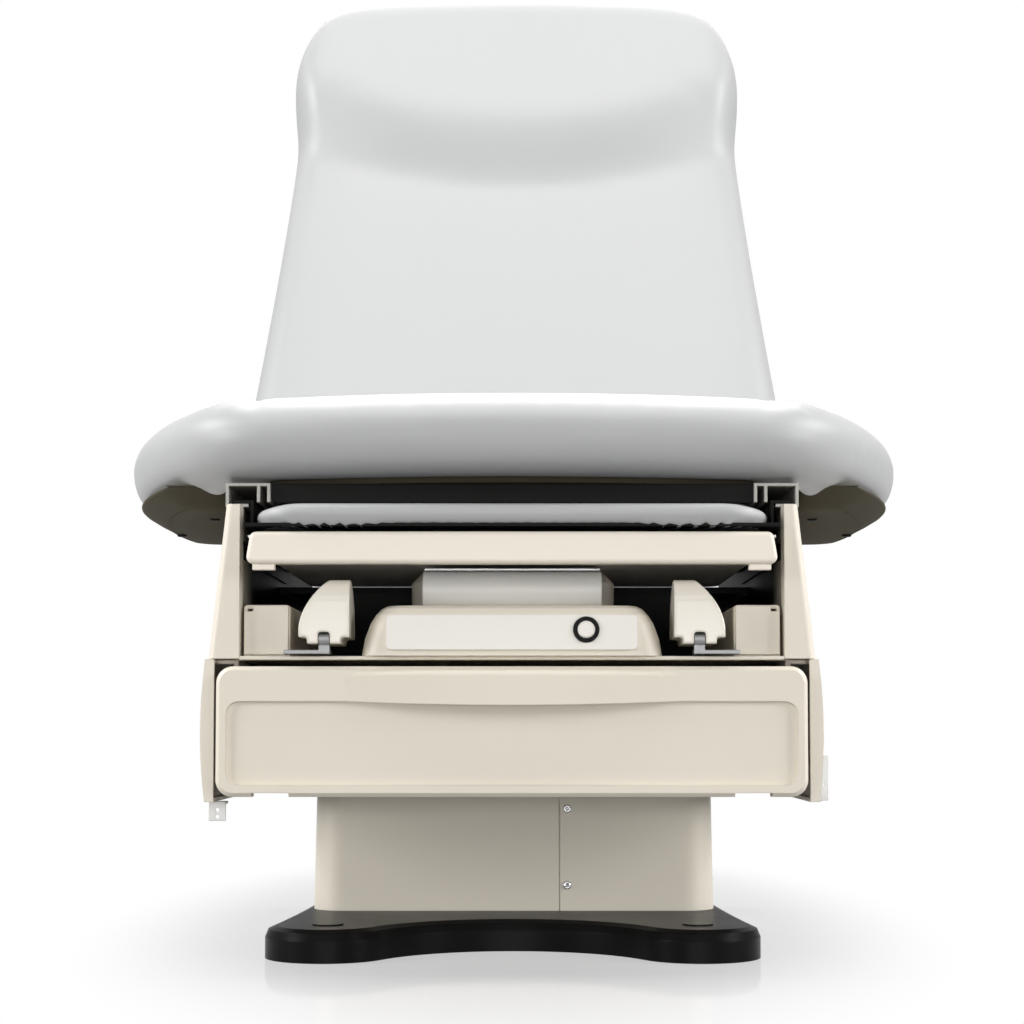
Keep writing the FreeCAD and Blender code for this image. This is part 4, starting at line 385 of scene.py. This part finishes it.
VINYL_SKIN = vinyl_skin_group()
grey_vinyl = surface("grey_vinyl", VINYL_SKIN, {"Grain": 700.0, "Patch": 4.0},
                     ((0.431, 0.434, 0.437), (0.454, 0.457, 0.460)), (0.42, 0.50), 0.10)


def resampled(points, count):
    # The same closed line again, with its points evenly spaced along it and its corners eased.
    closed = points + points[:1]
    lengths = [0.0]
    for start, end in zip(closed, closed[1:]):
        lengths.append(lengths[-1] + (end - start).length)
    even = []
    leg = 0
    for step in range(count):
        wanted = lengths[-1] * step / count
        while lengths[leg + 1] < wanted:
            leg += 1
        share = (wanted - lengths[leg]) / (lengths[leg + 1] - lengths[leg])
        even.append(closed[leg].lerp(closed[leg + 1], share))
    for ease in range(6):
        even = [(even[i - 1] + even[i] * 2 + even[(i + 1) % count]) / 4 for i in range(count)]
    return even


def node_outline(name, count):
    # The outline of a CAD node seen from above, anticlockwise.
    flat = [vertex.co.xy for vertex in nodes[name].data.vertices]
    return resampled([flat[i].copy() for i in mathutils.geometry.convex_hull_2d(flat)], count)


def outward(line):
    count = len(line)
    turns = [(line[(i + 1) % count] - line[i - 1]).normalized() for i in range(count)]
    return [mathutils.Vector((turn.y, -turn.x)) for turn in turns]


def eased(low, high, value):
    share = min(max((value - low) / (high - low), 0.0), 1.0)
    return share * share * (3 - 2 * share)


SEAT_POINTS = 240
SEAT_CROWN = 0.006
SEAT_RIM_RISE = 0.0100
SEAT_HEM = 0.018
SEAT_SHOULDER = 0.054
HEM_DROP = 0.006
HEM_GATHER = 0.0024
HEM_GATHER_PITCH = 0.011
HEM_INNER_X = (0.19, 0.24)
HEM_OUTER_X = (0.335, 0.300)
HEM_FRONT_Y = (-0.28, -0.34)
seat_low, seat_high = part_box("seat_cushion")
board_low, board_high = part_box("seat_board")
seat_line = node_outline("seat_cushion", SEAT_POINTS)
seat_normals = outward(seat_line)
seat_middle = mathutils.Vector((0.0, (seat_low.y + seat_high.y) / 2))
seat_top = seat_high.z
seat_bottom = seat_low.z + SEAT_RIM_RISE
seat_roll = (seat_top - seat_bottom) / 2


def seat_ring(turn):
    ring = []
    for spot, normal in zip(seat_line, seat_normals):
        reach = seat_roll + (SEAT_SHOULDER - seat_roll) * max(-normal.y, 0.0) ** 2 * (turn > 0)
        edge = spot - normal * reach * (1 - math.cos(turn))
        ring.append((edge.x, edge.y, seat_top - seat_roll + seat_roll * math.sin(turn)))
    return ring


def seat_hem(share, lift):
    # The skin turned under and gathered by its draw cord.
    ring = []
    run = 0.0
    for i, (spot, normal) in enumerate(zip(seat_line, seat_normals)):
        run += (spot - seat_line[i - 1]).length
        edge = spot - normal * (seat_roll + SEAT_HEM * share)
        near_rail = eased(*HEM_INNER_X, abs(spot.x)) * eased(*HEM_OUTER_X, abs(spot.x))
        near_rail *= eased(*HEM_FRONT_Y, spot.y)
        gather = -share * near_rail * (HEM_DROP + HEM_GATHER * math.sin(math.tau * run / HEM_GATHER_PITCH))
        ring.append((edge.x, edge.y, seat_bottom + lift + gather * (1 - eased(0, 0.004, lift))))
    return ring


seat_rings = [seat_hem(1.0, board_high.z - seat_bottom), seat_hem(1.0, 0.0015), seat_hem(0.7, 0.0),
              seat_hem(0.35, 0.0)]
seat_rings += [seat_ring(math.radians(turn)) for turn in range(-90, 91, 15)]
seat_edge = seat_rings[-1]
for share in (0.06, 0.14, 0.25, 0.38, 0.52, 0.68, 0.84):
    crown = SEAT_CROWN * (1 - (1 - share) ** 2)
    seat_rings.append([(x + (seat_middle.x - x) * share, y + (seat_middle.y - y) * share, seat_top + crown)
                       for x, y, z in seat_edge])
seat_skin = closed_form("seat_skin", seat_rings, (0.0, seat_middle.y, board_high.z),
                        (0.0, seat_middle.y, seat_top + SEAT_CROWN))


SWELL_FRAMES = 12
SWELL_PRESSURE = 4.0
SKIN_STIFFNESS = 30.0
SKIN_BENDING = 4.0


def swollen(piece, free, limit):
    # The foam pushes the skin out a little where it is free: a short cloth run under light pressure.
    # Then two subdivisions smooth it.
    name = piece.name
    piece.name = name + "_cut"
    mesh = piece.data
    cut = [vertex.co.copy() for vertex in mesh.vertices]
    give = [free(place) for place in cut]
    held = piece.vertex_groups.new(name="held")
    for vertex in mesh.vertices:
        held.add([vertex.index], 1.0 - give[vertex.index], "REPLACE")
    cloth = piece.modifiers.new("swell", "CLOTH")
    cloth.settings.quality = 2
    cloth.settings.vertex_group_mass = held.name
    cloth.settings.use_pressure = True
    cloth.settings.uniform_pressure_force = SWELL_PRESSURE
    cloth.settings.effector_weights.gravity = 0.0
    cloth.settings.tension_stiffness = SKIN_STIFFNESS
    cloth.settings.compression_stiffness = SKIN_STIFFNESS
    cloth.settings.bending_stiffness = SKIN_BENDING
    cloth.collision_settings.use_collision = False
    cloth.point_cache.frame_start = 1
    cloth.point_cache.frame_end = SWELL_FRAMES
    for step in range(1, SWELL_FRAMES + 1):
        scene.frame_set(step)
    drawn = piece.evaluated_get(bpy.context.evaluated_depsgraph_get())
    swelled = [vertex.co.copy() for vertex in drawn.data.vertices]
    piece.modifiers.remove(cloth)
    piece.vertex_groups.remove(held)
    scene.frame_set(1)
    for vertex, place, now, share in zip(mesh.vertices, cut, swelled, give):
        move = now - place
        if move.length > limit:
            move *= limit / move.length
        vertex.co = place + move * share
    finer = piece.modifiers.new("finer", "SUBSURF")
    finer.levels = finer.render_levels = 2
    return plain_copy(name, piece)


SKIN_SWELL = 0.0025


def seat_give(place):
    # The skin is held at its hem and free above.
    return eased(seat_bottom + 0.004, seat_bottom + 0.020, place.z)


seat_skin.data.materials.append(grey_vinyl)
seat_skin = swollen(seat_skin, seat_give, SKIN_SWELL)
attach(seat_skin, "table_body")
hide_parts("seat_cushion")


# Seat underside: a painted plywood board under the foam, and a shallow sloping tray at each side of the rails.
# The skin's hem is tucked behind the trays, which are screwed up into the board.
def seat_half(y):
    # Half the seat's width at a distance along it.
    best = 0.0
    for i, spot in enumerate(seat_line):
        last = seat_line[i - 1]
        if last.y != spot.y and min(last.y, spot.y) <= y <= max(last.y, spot.y):
            best = max(best, abs(last.x + (spot.x - last.x) * (y - last.y) / (spot.y - last.y)))
    return best


TRAY_FRONT_Y = -0.455
TRAY_REAR_Y = -0.062
TRAY_STATIONS = 40
TRAY_INNER_X = 0.238
TRAY_TOP = seat_bottom + 0.0015
TRAY_DROP = TRAY_TOP - 0.3735
TRAY_PROFILE = ((0.010, 0.0), (0.0115, 0.10), (0.020, 0.45), (0.030, 0.80), (0.038, 0.97), (0.046, 1.0))


def tray_ring(side, y):
    drop = TRAY_DROP * eased(TRAY_FRONT_Y - 0.004, TRAY_FRONT_Y + 0.05, y)
    drop *= eased(TRAY_REAR_Y + 0.004, TRAY_REAR_Y - 0.02, y)
    half = max(seat_half(y), TRAY_INNER_X + 0.055)
    ring = [(side * (half - inset), y, TRAY_TOP - drop * share) for inset, share in TRAY_PROFILE]
    ring += [(side * TRAY_INNER_X, y, TRAY_TOP - drop), (side * TRAY_INNER_X, y, TRAY_TOP)]
    return ring


def tray(name, side):
    reach = TRAY_REAR_Y - TRAY_FRONT_Y
    rings = [tray_ring(side, TRAY_FRONT_Y + reach * step / TRAY_STATIONS)
             for step in range(TRAY_STATIONS + 1)]
    poles = [[sum(point[i] for point in ring) / len(ring) for i in range(3)]
             for ring in (rings[0], rings[-1])]
    return closed_form(name, rings, *poles)


# Painted shade: the taupe paint is made nearly black, darker than the paint itself, for the shade on these
# undersides.
taupe_paint = surface("taupe_paint", MOULDED_GRAIN, {"Grain": 600.0, "Patch": 8.0},
                      ((0.060, 0.053, 0.036), (0.085, 0.075, 0.051)), (0.66, 0.78), 0.30)
shader_value(taupe_paint, "Specular IOR Level", 0.06)
dress(taupe_paint, "seat_board", "back_board")
for side, name in ((-1, "seat_tray_left"), (1, "seat_tray_right")):
    seat_tray = tray(name, side)
    seat_tray.data.materials.append(taupe_paint)
    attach(seat_tray, "table_body")
TRAY_SCREW_SPOTS = ((0.316, -0.184), (0.262, -0.090), (0.262, -0.330))
TRAY_SCREW_RADIUS = 0.0045
TRAY_SCREW_HEIGHT = 0.0022
tray_seats = [(side * x, y, TRAY_TOP - TRAY_DROP + 0.0003) for side in (-1, 1) for x, y in TRAY_SCREW_SPOTS]
tray_screws = screws("tray_screws", tray_seats, (math.pi, 0.0, 0.0),
                     TRAY_SCREW_RADIUS, TRAY_SCREW_HEIGHT, black_enamel, 8)
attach(tray_screws, "table_body")


# Rails and foot extension: bright extrusions, and a folded board that slides in them
# under a thin vinyl pad whose skin is gathered along its lower edge.
pale_extrusion = surface("pale_extrusion", BRUSHED_LINES, {"Lines": 240.0, "Patch": 9.0},
                         ((0.34, 0.33, 0.30), (0.42, 0.41, 0.38)), (0.45, 0.58), 0.15)
shader_value(pale_extrusion, "Metallic", 0.35)
dress(pale_extrusion, "seat_rails")
# Painted shade: the cross web at the rails' front is dressed in black enamel for the deep shade under the
# seat.
RAIL_WEB_SHADE_LOW = (-0.1885, -0.512, 0.36)
RAIL_WEB_SHADE_HIGH = (0.1885, -0.50, 0.39)
dress_part(black_enamel, "seat_rails", RAIL_WEB_SHADE_LOW, RAIL_WEB_SHADE_HIGH)
dress(black_enamel, "foot_board", "pan_guides")
PAD_POINTS = 420
PAD_CROWN = 0.004
PAD_GATHER = 0.0030
PAD_GATHER_PITCH = 0.0115
PAD_END_DROP = 0.0040
PAD_END_X = (0.165, 0.210)
PAD_TIGHT_X = (0.085, 0.125)
pad_low, pad_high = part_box("foot_pad")
pad_line = node_outline("foot_pad", PAD_POINTS)
pad_normals = outward(pad_line)
pad_top = pad_high.z - PAD_CROWN
pad_middle = mathutils.Vector((0.0, (pad_low.y + pad_high.y) / 2))


def pad_rise(x):
    # The pad is thinner at its two ends.
    return pad_top - PAD_END_DROP * eased(*PAD_END_X, abs(x))


def pad_ring(turn, inset):
    ring = []
    run = 0.0
    for i, (spot, normal) in enumerate(zip(pad_line, pad_normals)):
        run += (spot - pad_line[i - 1]).length
        roll = (pad_rise(spot.x) - pad_low.z) / 2
        edge = spot - normal * (roll * (1 - math.cos(turn)) + inset)
        fold = abs(math.sin(math.pi * run / PAD_GATHER_PITCH + 1.1 * math.sin(run * 31.0)))
        tight = 0.22 + 0.78 * eased(*PAD_TIGHT_X, abs(spot.x))
        drop = PAD_GATHER * fold * tight * eased(-0.5, -1.0, math.sin(turn))
        ring.append((edge.x, edge.y, pad_low.z + roll + roll * math.sin(turn) - drop))
    return ring


pad_rings = [pad_ring(math.radians(-90), 0.016), pad_ring(math.radians(-90), 0.004)]
pad_rings += [pad_ring(math.radians(turn), 0.0) for turn in range(-90, 91, 12)]
pad_edge = pad_rings[-1]
for share in (0.05, 0.14, 0.3, 0.55, 0.8):
    crown = PAD_CROWN * (1 - (1 - share) ** 2)
    pad_rings.append([(x + (pad_middle.x - x) * share, y + (pad_middle.y - y) * share,
                       pad_rise(x + (pad_middle.x - x) * share) + crown) for x, y, z in pad_edge])
pad_skin = closed_form("pad_skin", pad_rings, (0.0, pad_middle.y, pad_low.z), (0.0, pad_middle.y, pad_high.z))
pad_skin.data.materials.append(grey_vinyl)
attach(pad_skin, "foot_extension")
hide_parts("foot_pad")


# Treatment pan: a shallow white tray that slides out on two ledges, with a cream moulded front screwed to it.
# The front is shinier than the covers round it. It is also painted a shade lighter than them as painted light,
# for the light caught by its upper part, which tilts up.
pan_moulding = surface("pan_moulding", MOULDED_GRAIN, {"Grain": 1000.0, "Patch": 6.0},
                       ((0.87, 0.80, 0.685), (0.92, 0.85, 0.74)), (0.30, 0.42), 0.25)
dress(pan_moulding, "pan_front")
dress(white_moulding, "pan_tray")


# Side covers: cream mouldings over the frame plates, upper cheeks and lower skirts, hung on hidden screws.
# Two small pale plates, bent and drilled, stand at the skirts' front lower corners for accessories.
dress(cream_moulding, "side_cheeks", "side_skirts")
dress(white_moulding, "left_hook_bracket", "right_accessory_plate")


# Front compartment: an enamelled shelf, with a moulded control housing, its pale face and one round button.
# The heater's housing stands behind, with a white sheet rolled under a steel clip in front of it.
# A thin black sheet at the back of the compartment is painted shade, for the dark where the compartment opens
# to the column.
dress(cream_enamel, "shelf")
dress(cream_moulding, "control_housing", "heater_housing")
face_moulding = surface("face_moulding", MOULDED_GRAIN, {"Grain": 1400.0, "Patch": 7.0},
                        ((0.83, 0.795, 0.725), (0.87, 0.84, 0.77)), (0.28, 0.38), 0.12)
dress(face_moulding, "control_face", "heater_button")
dress(white_moulding, "rolled_tag")
# Painted shade: a thin black sheet, put where the compartment is open to the column, for the dark at its back.
SHADE_SHEET_HALF = 0.170
SHADE_SHEET_Y = -0.2840
SHADE_SHEET_Z = (0.2475, 0.3125)
SHADE_SHEET_THICK = 0.0010
shade_sheet_mesh = bpy.data.meshes.new("closing_plate")
shade_sheet_form = bmesh.new()
bmesh.ops.create_cube(shade_sheet_form, size=1.0)
for corner in shade_sheet_form.verts:
    corner.co = (corner.co.x * 2 * SHADE_SHEET_HALF, SHADE_SHEET_Y + corner.co.y * SHADE_SHEET_THICK,
                 sum(SHADE_SHEET_Z) / 2 + corner.co.z * (SHADE_SHEET_Z[1] - SHADE_SHEET_Z[0]))
shade_sheet_form.to_mesh(shade_sheet_mesh)
shade_sheet_form.free()
closing_plate = bpy.data.objects.new("closing_plate", shade_sheet_mesh)
scene.collection.objects.link(closing_plate)
shade_sheet_mesh.materials.append(black_enamel)
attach(closing_plate, "table_body")


# Stirrups: steel bars that slide out of enamelled boxes, each with a cream end cap and a hinged heel cup.
# The cups are moulded in glossy cream plastic with soft edges, and fold down on a pin between two prongs.
gloss_moulding = surface("gloss_moulding", MOULDED_GRAIN, {"Grain": 300.0, "Patch": 9.0},
                         ((0.80, 0.745, 0.65), (0.85, 0.80, 0.70)), (0.16, 0.24), 0.05)
HEEL_GRID = 0.0008
for name in ("heel_cup_left", "heel_cup_right"):
    cup = bpy.data.objects.new(name + "_drawn", nodes[name].data.copy())
    scene.collection.objects.link(cup)
    joined = bmesh.new()
    joined.from_mesh(cup.data)
    bmesh.ops.remove_doubles(joined, verts=joined.verts, dist=1e-6)
    joined.to_mesh(cup.data)
    joined.free()
    grid = cup.modifiers.new("grid", "REMESH")
    grid.mode = "VOXEL"
    grid.voxel_size = HEEL_GRID
    soften = cup.modifiers.new("soften", "SMOOTH")
    soften.factor = 0.5
    soften.iterations = 12
    moulded_cup = plain_copy(name + "_moulding", cup)
    moulded_cup.data.materials.clear()
    moulded_cup.data.materials.append(gloss_moulding)
    moulded_cup.data.shade_smooth()
    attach(moulded_cup, name)
    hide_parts(name)
dull_steel = surface("dull_steel", BRUSHED_LINES, {"Lines": 260.0, "Patch": 16.0},
                     ((0.20, 0.20, 0.20), (0.28, 0.28, 0.28)), (0.38, 0.52), 0.20)
shader_value(dull_steel, "Metallic", 1.0)
dress(dull_steel, "stirrup_bar_left", "stirrup_bar_right")
dress(cream_enamel, "stirrup_housings")
CAP_FRONT_Y = -0.5335
CAP_REAR_Y = -0.5282
CAP_X = (0.1725, 0.2080)
CAP_Z = (0.247, 0.290)
for side, name in ((-1, "stirrup_bar_left"), (1, "stirrup_bar_right")):
    across = sorted((side * CAP_X[0], side * CAP_X[1]))
    dress_part(cream_moulding, name, (across[0], CAP_FRONT_Y, CAP_Z[0]), (across[1], CAP_REAR_Y, CAP_Z[1]))


# Drawer: a cream moulded front with an arched pull in its face, on a box of the same plastic.
# It runs on two pairs of steel runners screwed to the frame plates.
dress(cream_moulding, "drawer_front", "drawer_box")
dress(brushed_steel, "drawer_runner_channels", "drawer_runner_slides")


# Back: a moulded foam cushion with a head pillow in one piece, under a single tight vinyl skin.
# Its board is screwed to a steel frame behind a cream shell, hinged at the seat's rear edge.
dress(black_enamel, "back_frame", "actuator_motor")
dress(cream_moulding, "back_shell")
BACK_ANGLE = math.radians(62.0)
BACK_HINGE = mathutils.Vector((0.0, 0.0, 0.410))
BACK_TOP = 0.731
BACK_ROLL = 0.036
BACK_REAR = -0.037
BACK_FRONT = 0.035
BACK_FOOT_HALF = 0.297
BACK_WAIST_HALF = 0.258
BACK_WAIST = 0.509
BACK_HEAD_HALF = 0.2650
BACK_HEAD = 0.592
BACK_CORNER = 0.135
BACK_TOP_RADIUS = 0.810
BACK_EDGE = 0.034
BACK_CROWN = 0.005
BACK_TOP_ROLL = 0.075
PILLOW_PROUD = 0.040
PILLOW_START = 0.420
PILLOW_LENGTH = 0.108
PILLOW_SMILE = 0.075
NOTCH_X = (0.2055, 0.2245)
NOTCH_ALONG = (-0.060, 0.018)
NOTCH_UP = (-0.060, 0.018)
BACK_STATIONS = 64
BACK_FIRST = -0.997 * BACK_ROLL
BACK_LAST = BACK_TOP - 0.0004


def back_half(along):
    if along <= BACK_WAIST:
        spread = (BACK_WAIST - max(along, 0)) / BACK_WAIST
        return BACK_WAIST_HALF + (BACK_FOOT_HALF - BACK_WAIST_HALF) * spread ** 1.25
    if along <= BACK_HEAD:
        return BACK_WAIST_HALF + (BACK_HEAD_HALF - BACK_WAIST_HALF) * eased(BACK_WAIST, BACK_HEAD, along)
    over = min(along - BACK_HEAD, BACK_CORNER * 0.999)
    corner = BACK_HEAD_HALF - BACK_CORNER + math.sqrt(BACK_CORNER ** 2 - over ** 2)
    return min(corner, math.sqrt(2 * BACK_TOP_RADIUS * max(BACK_TOP - along, 1e-6)))


def back_depths(along):
    # Rear and front faces: a round foot on the hinge, flat behind, and a roll over the top.
    if along < 0:
        rise = math.sqrt(max(BACK_ROLL ** 2 - along ** 2, 1e-8))
        return -rise, rise
    rear, front = BACK_REAR, BACK_FRONT
    over = (along - (BACK_TOP - BACK_TOP_ROLL)) / BACK_TOP_ROLL
    if over > 0:
        shrink = math.sqrt(max(1 - over ** 2, 1e-6))
        peak = (BACK_REAR + BACK_FRONT + PILLOW_PROUD) / 2
        return peak + (rear - peak) * shrink, peak + (front - peak) * shrink
    return rear, front


def pillow(across, along):
    start = PILLOW_START + PILLOW_SMILE * (across / BACK_HEAD_HALF) ** 2
    fade = math.sqrt(max(1 - max((along - BACK_TOP + BACK_TOP_ROLL) / BACK_TOP_ROLL, 0) ** 2, 0))
    share = min(max((along - start) / PILLOW_LENGTH, 0.0), 1.0)
    return PILLOW_PROUD * eased(0, 1, 1 - (1 - share) ** 1.6) * fade


def back_ring(along):
    half = back_half(along)
    if along < 0:
        half -= BACK_ROLL - math.sqrt(max(BACK_ROLL ** 2 - along ** 2, 1e-8))
    rear, front = back_depths(along)
    edge = min(BACK_EDGE, half * 0.45)
    middle = (rear + front) / 2
    flat = half - edge
    section = [(-flat + 2 * flat * i / 8, rear) for i in range(8)]
    section += [(flat + edge * math.cos(a), middle + (middle - rear) * math.sin(a))
                for a in (math.radians(-90 + 15 * i) for i in range(6))]
    section += [(flat + edge * math.cos(a), middle + (front - middle) * math.sin(a))
                for a in (math.radians(15 * i) for i in range(6))]
    section += [(flat - 2 * flat * i / 24, front + BACK_CROWN * (1 - (1 - i / 12) ** 2)) for i in range(24)]
    section += [(-flat - edge * math.cos(a), middle + (front - middle) * math.sin(a))
                for a in (math.radians(90 - 15 * i) for i in range(6))]
    section += [(-flat - edge * math.cos(a), middle + (middle - rear) * math.sin(a))
                for a in (math.radians(-15 * i) for i in range(6))]
    ring = []
    for across, up in section:
        share = eased(middle - (middle - rear) * 0.5, front, up) if front > rear else 0.0
        up += pillow(across, along) * share
        ring.append(raised(across, along, up))
    return ring


def raised(across, along, up):
    return BACK_HINGE + mathutils.Vector((across, along * math.cos(BACK_ANGLE) - up * math.sin(BACK_ANGLE),
                                          along * math.sin(BACK_ANGLE) + up * math.cos(BACK_ANGLE)))


back_rings = []
for step in range(BACK_STATIONS + 1):
    sweep = (1 - math.cos(math.pi * step / BACK_STATIONS)) / 2
    share = 0.6 * sweep + 0.4 * step / BACK_STATIONS
    back_rings.append(back_ring(BACK_FIRST + share * (BACK_LAST - BACK_FIRST)))
back_peak = (BACK_REAR + BACK_FRONT + PILLOW_PROUD) / 2
back_skin = closed_form("back_skin", back_rings, raised(0, -BACK_ROLL, 0), raised(0, BACK_TOP, back_peak))
back_skin.data.materials.append(grey_vinyl)
back_facing = raised(0, 0, 1) - BACK_HINGE


def back_give(place):
    # The skin is held behind, where the board is, and free in front.
    return eased(-0.020, 0.020, (place - BACK_HINGE).dot(back_facing))


back_skin = swollen(back_skin, back_give, SKIN_SWELL)


def notches():
    # Two slots in the cushion's foot, through which the frame's hinge ears pass.
    form = bmesh.new()
    for side in (-1, 1):
        box = bmesh.ops.create_cube(form, size=1.0)
        for corner in box["verts"]:
            across, along, up = (span[0] if corner.co[i] < 0 else span[1]
                                 for i, span in enumerate((NOTCH_X, NOTCH_ALONG, NOTCH_UP)))
            corner.co = raised(side * across, along, up)
    bmesh.ops.recalc_face_normals(form, faces=form.faces)
    mesh = bpy.data.meshes.new("notches")
    form.to_mesh(mesh)
    form.free()
    cutter = bpy.data.objects.new("notches", mesh)
    scene.collection.objects.link(cutter)
    return cutter


cutter = notches()
slots = back_skin.modifiers.new("slots", "BOOLEAN")
slots.object = cutter
slots.operation = "DIFFERENCE"
slots.solver = "EXACT"
back_skin.name = "back_skin_uncut"
back_skin = plain_copy("back_skin", back_skin)
bpy.data.objects.remove(cutter)
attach(back_skin, "back")
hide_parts("back_cushion")


# Studio: a smooth white floor that fades into a white background.
# The lamps are large and soft: one above, one behind, two in front and two at each side.
def rays_shown(tree, mirror_share):
    # 1 for rays that show a thing, the given share for mirror rays, and 0 for those that only light the scene.
    seen = tree.nodes.new("ShaderNodeLightPath")
    mirrored = tree.nodes.new("ShaderNodeMath")
    mirrored.operation = "MULTIPLY"
    mirrored.inputs[1].default_value = mirror_share
    direct = tree.nodes.new("ShaderNodeMath")
    direct.operation = "MAXIMUM"
    through = tree.nodes.new("ShaderNodeMath")
    through.operation = "MAXIMUM"
    tree.links.new(seen.outputs["Is Glossy Ray"], mirrored.inputs[0])
    tree.links.new(seen.outputs["Is Camera Ray"], direct.inputs[0])
    tree.links.new(mirrored.outputs["Value"], direct.inputs[1])
    tree.links.new(direct.outputs["Value"], through.inputs[0])
    tree.links.new(seen.outputs["Is Transmission Ray"], through.inputs[1])
    return through.outputs["Value"]


FLOOR_LIT = (0.14, 0.14, 0.14, 1)
FLOOR_SHOWN = (0.60, 0.60, 0.60, 1)
FLOOR_OVAL = (1.0, 0.42, 1.0)
FLOOR_FADE = (0.24, 0.42)


def white_floor():
    material = bpy.data.materials.new("studio_floor")
    material.use_nodes = True
    tree = material.node_tree
    shader = tree.nodes["Principled BSDF"]
    shader.inputs["Roughness"].default_value = 0.08
    tone = tree.nodes.new("ShaderNodeMix")
    tone.data_type = "RGBA"
    tone.inputs["A"].default_value = FLOOR_LIT
    tone.inputs["B"].default_value = FLOOR_SHOWN
    place = tree.nodes.new("ShaderNodeTexCoord")
    reach = tree.nodes.new("ShaderNodeVectorMath")
    reach.operation = "LENGTH"
    fade = tree.nodes.new("ShaderNodeMapRange")
    fade.interpolation_type = "SMOOTHSTEP"
    fade.inputs["From Min"].default_value = FLOOR_FADE[0]
    fade.inputs["From Max"].default_value = FLOOR_FADE[1]
    fade.inputs["To Min"].default_value = 0.5
    shown = tree.nodes.new("ShaderNodeMath")
    shown.operation = "MULTIPLY"
    glow = tree.nodes.new("ShaderNodeEmission")
    both = tree.nodes.new("ShaderNodeMixShader")
    rays = rays_shown(tree, 1.0)
    tree.links.new(rays, shown.inputs[1])
    tree.links.new(rays, tone.inputs["Factor"])
    tree.links.new(tone.outputs["Result"], shader.inputs["Base Color"])
    oval = tree.nodes.new("ShaderNodeMapping")
    oval.inputs["Scale"].default_value = FLOOR_OVAL
    tree.links.new(place.outputs["Object"], oval.inputs["Vector"])
    tree.links.new(oval.outputs["Vector"], reach.inputs[0])
    tree.links.new(reach.outputs["Value"], fade.inputs["Value"])
    tree.links.new(fade.outputs["Result"], shown.inputs[0])
    tree.links.new(shown.outputs["Value"], both.inputs["Fac"])
    tree.links.new(shader.outputs["BSDF"], both.inputs[1])
    tree.links.new(glow.outputs["Emission"], both.inputs[2])
    tree.links.new(both.outputs["Shader"], tree.nodes["Material Output"].inputs["Surface"])
    return material


floor_mesh = bpy.data.meshes.new("studio_floor")
FLOOR_HALF = 30.0
floor_corners = [(x * FLOOR_HALF, y * FLOOR_HALF, 0) for x, y in ((-1, -1), (1, -1), (1, 1), (-1, 1))]
floor_mesh.from_pydata(floor_corners, [], [(0, 1, 2, 3)])
floor_mesh.materials.append(white_floor())
floor = bpy.data.objects.new("studio_floor", floor_mesh)
scene.collection.objects.link(floor)


def softbox(name, place, aim, size, power):
    lamp = bpy.data.lights.new(name, "AREA")
    lamp.shape = "RECTANGLE"
    lamp.size, lamp.size_y = size
    lamp.energy = power
    obj = bpy.data.objects.new(name, lamp)
    obj.location = place
    obj.rotation_euler = (mathutils.Vector(aim) - mathutils.Vector(place)).to_track_quat("-Z", "Y").to_euler()
    scene.collection.objects.link(obj)


softbox("lamp_above", (0.0, -0.60, 2.6), (0.0, 0.0, 0.5), (1.8, 1.2), 25)
softbox("lamp_behind", (0.0, 1.2, 2.4), (0.0, 0.0, 0.7), (1.5, 0.8), 48)
softbox("lamp_front", (0.0, -2.6, 1.1), (0.0, -0.4, 0.2), (1.2, 0.6), 5.6)
softbox("lamp_low", (0.0, -3.0, 0.25), (0.0, -0.3, 0.2), (1.6, 0.3), 14)
for side, name in ((-1, "left"), (1, "right")):
    softbox("lamp_side_" + name, (side * 2.3, -1.5, 0.85), (0.0, -0.4, 0.3), (0.9, 0.9), 30)
    softbox("lamp_high_" + name, (side * 1.8, -0.4, 1.6), (0.0, -0.2, 0.5), (0.8, 0.8), 25)

world = bpy.data.worlds.new("studio_world")
scene.world = world
world.use_nodes = True
sky = world.node_tree
room = sky.nodes["Background"]
room.inputs["Color"].default_value = (1, 1, 1, 1)
level = sky.nodes.new("ShaderNodeMapRange")
ROOM_LIGHT = 0.04
ROOM_MIRRORED = 0.55
level.inputs["To Min"].default_value = ROOM_LIGHT
level.inputs["To Max"].default_value = 1.0
sky.links.new(rays_shown(sky, ROOM_MIRRORED), level.inputs["Value"])
sky.links.new(level.outputs["Result"], room.inputs["Strength"])


# Camera: low in front of the foot end, tilted up a little.
# The lens is shifted, so that the table stands where it does in the picture.
camera_data = bpy.data.cameras.new("camera")
camera = bpy.data.objects.new("camera", camera_data)
scene.collection.objects.link(camera)
CAMERA_PLACE = (0.010, -2.07, 0.193)
CAMERA_TILT = math.radians(3.0)
FOCAL_PIXELS = 1990.0
IMAGE_PIXELS = 1024.0
HORIZON_PIXELS = 725.0
ASIDE_PIXELS = -12.9
SENSOR_WIDTH = 36.0
camera_data.sensor_width = SENSOR_WIDTH
camera_data.lens = SENSOR_WIDTH * FOCAL_PIXELS / IMAGE_PIXELS
tilt_pixels = FOCAL_PIXELS * math.tan(CAMERA_TILT)
camera_data.shift_y = (HORIZON_PIXELS - IMAGE_PIXELS / 2 - tilt_pixels) / IMAGE_PIXELS
camera_data.shift_x = ASIDE_PIXELS / IMAGE_PIXELS
camera.location = CAMERA_PLACE
camera.rotation_euler = (math.pi / 2 + CAMERA_TILT, 0, 0)
scene.camera = camera
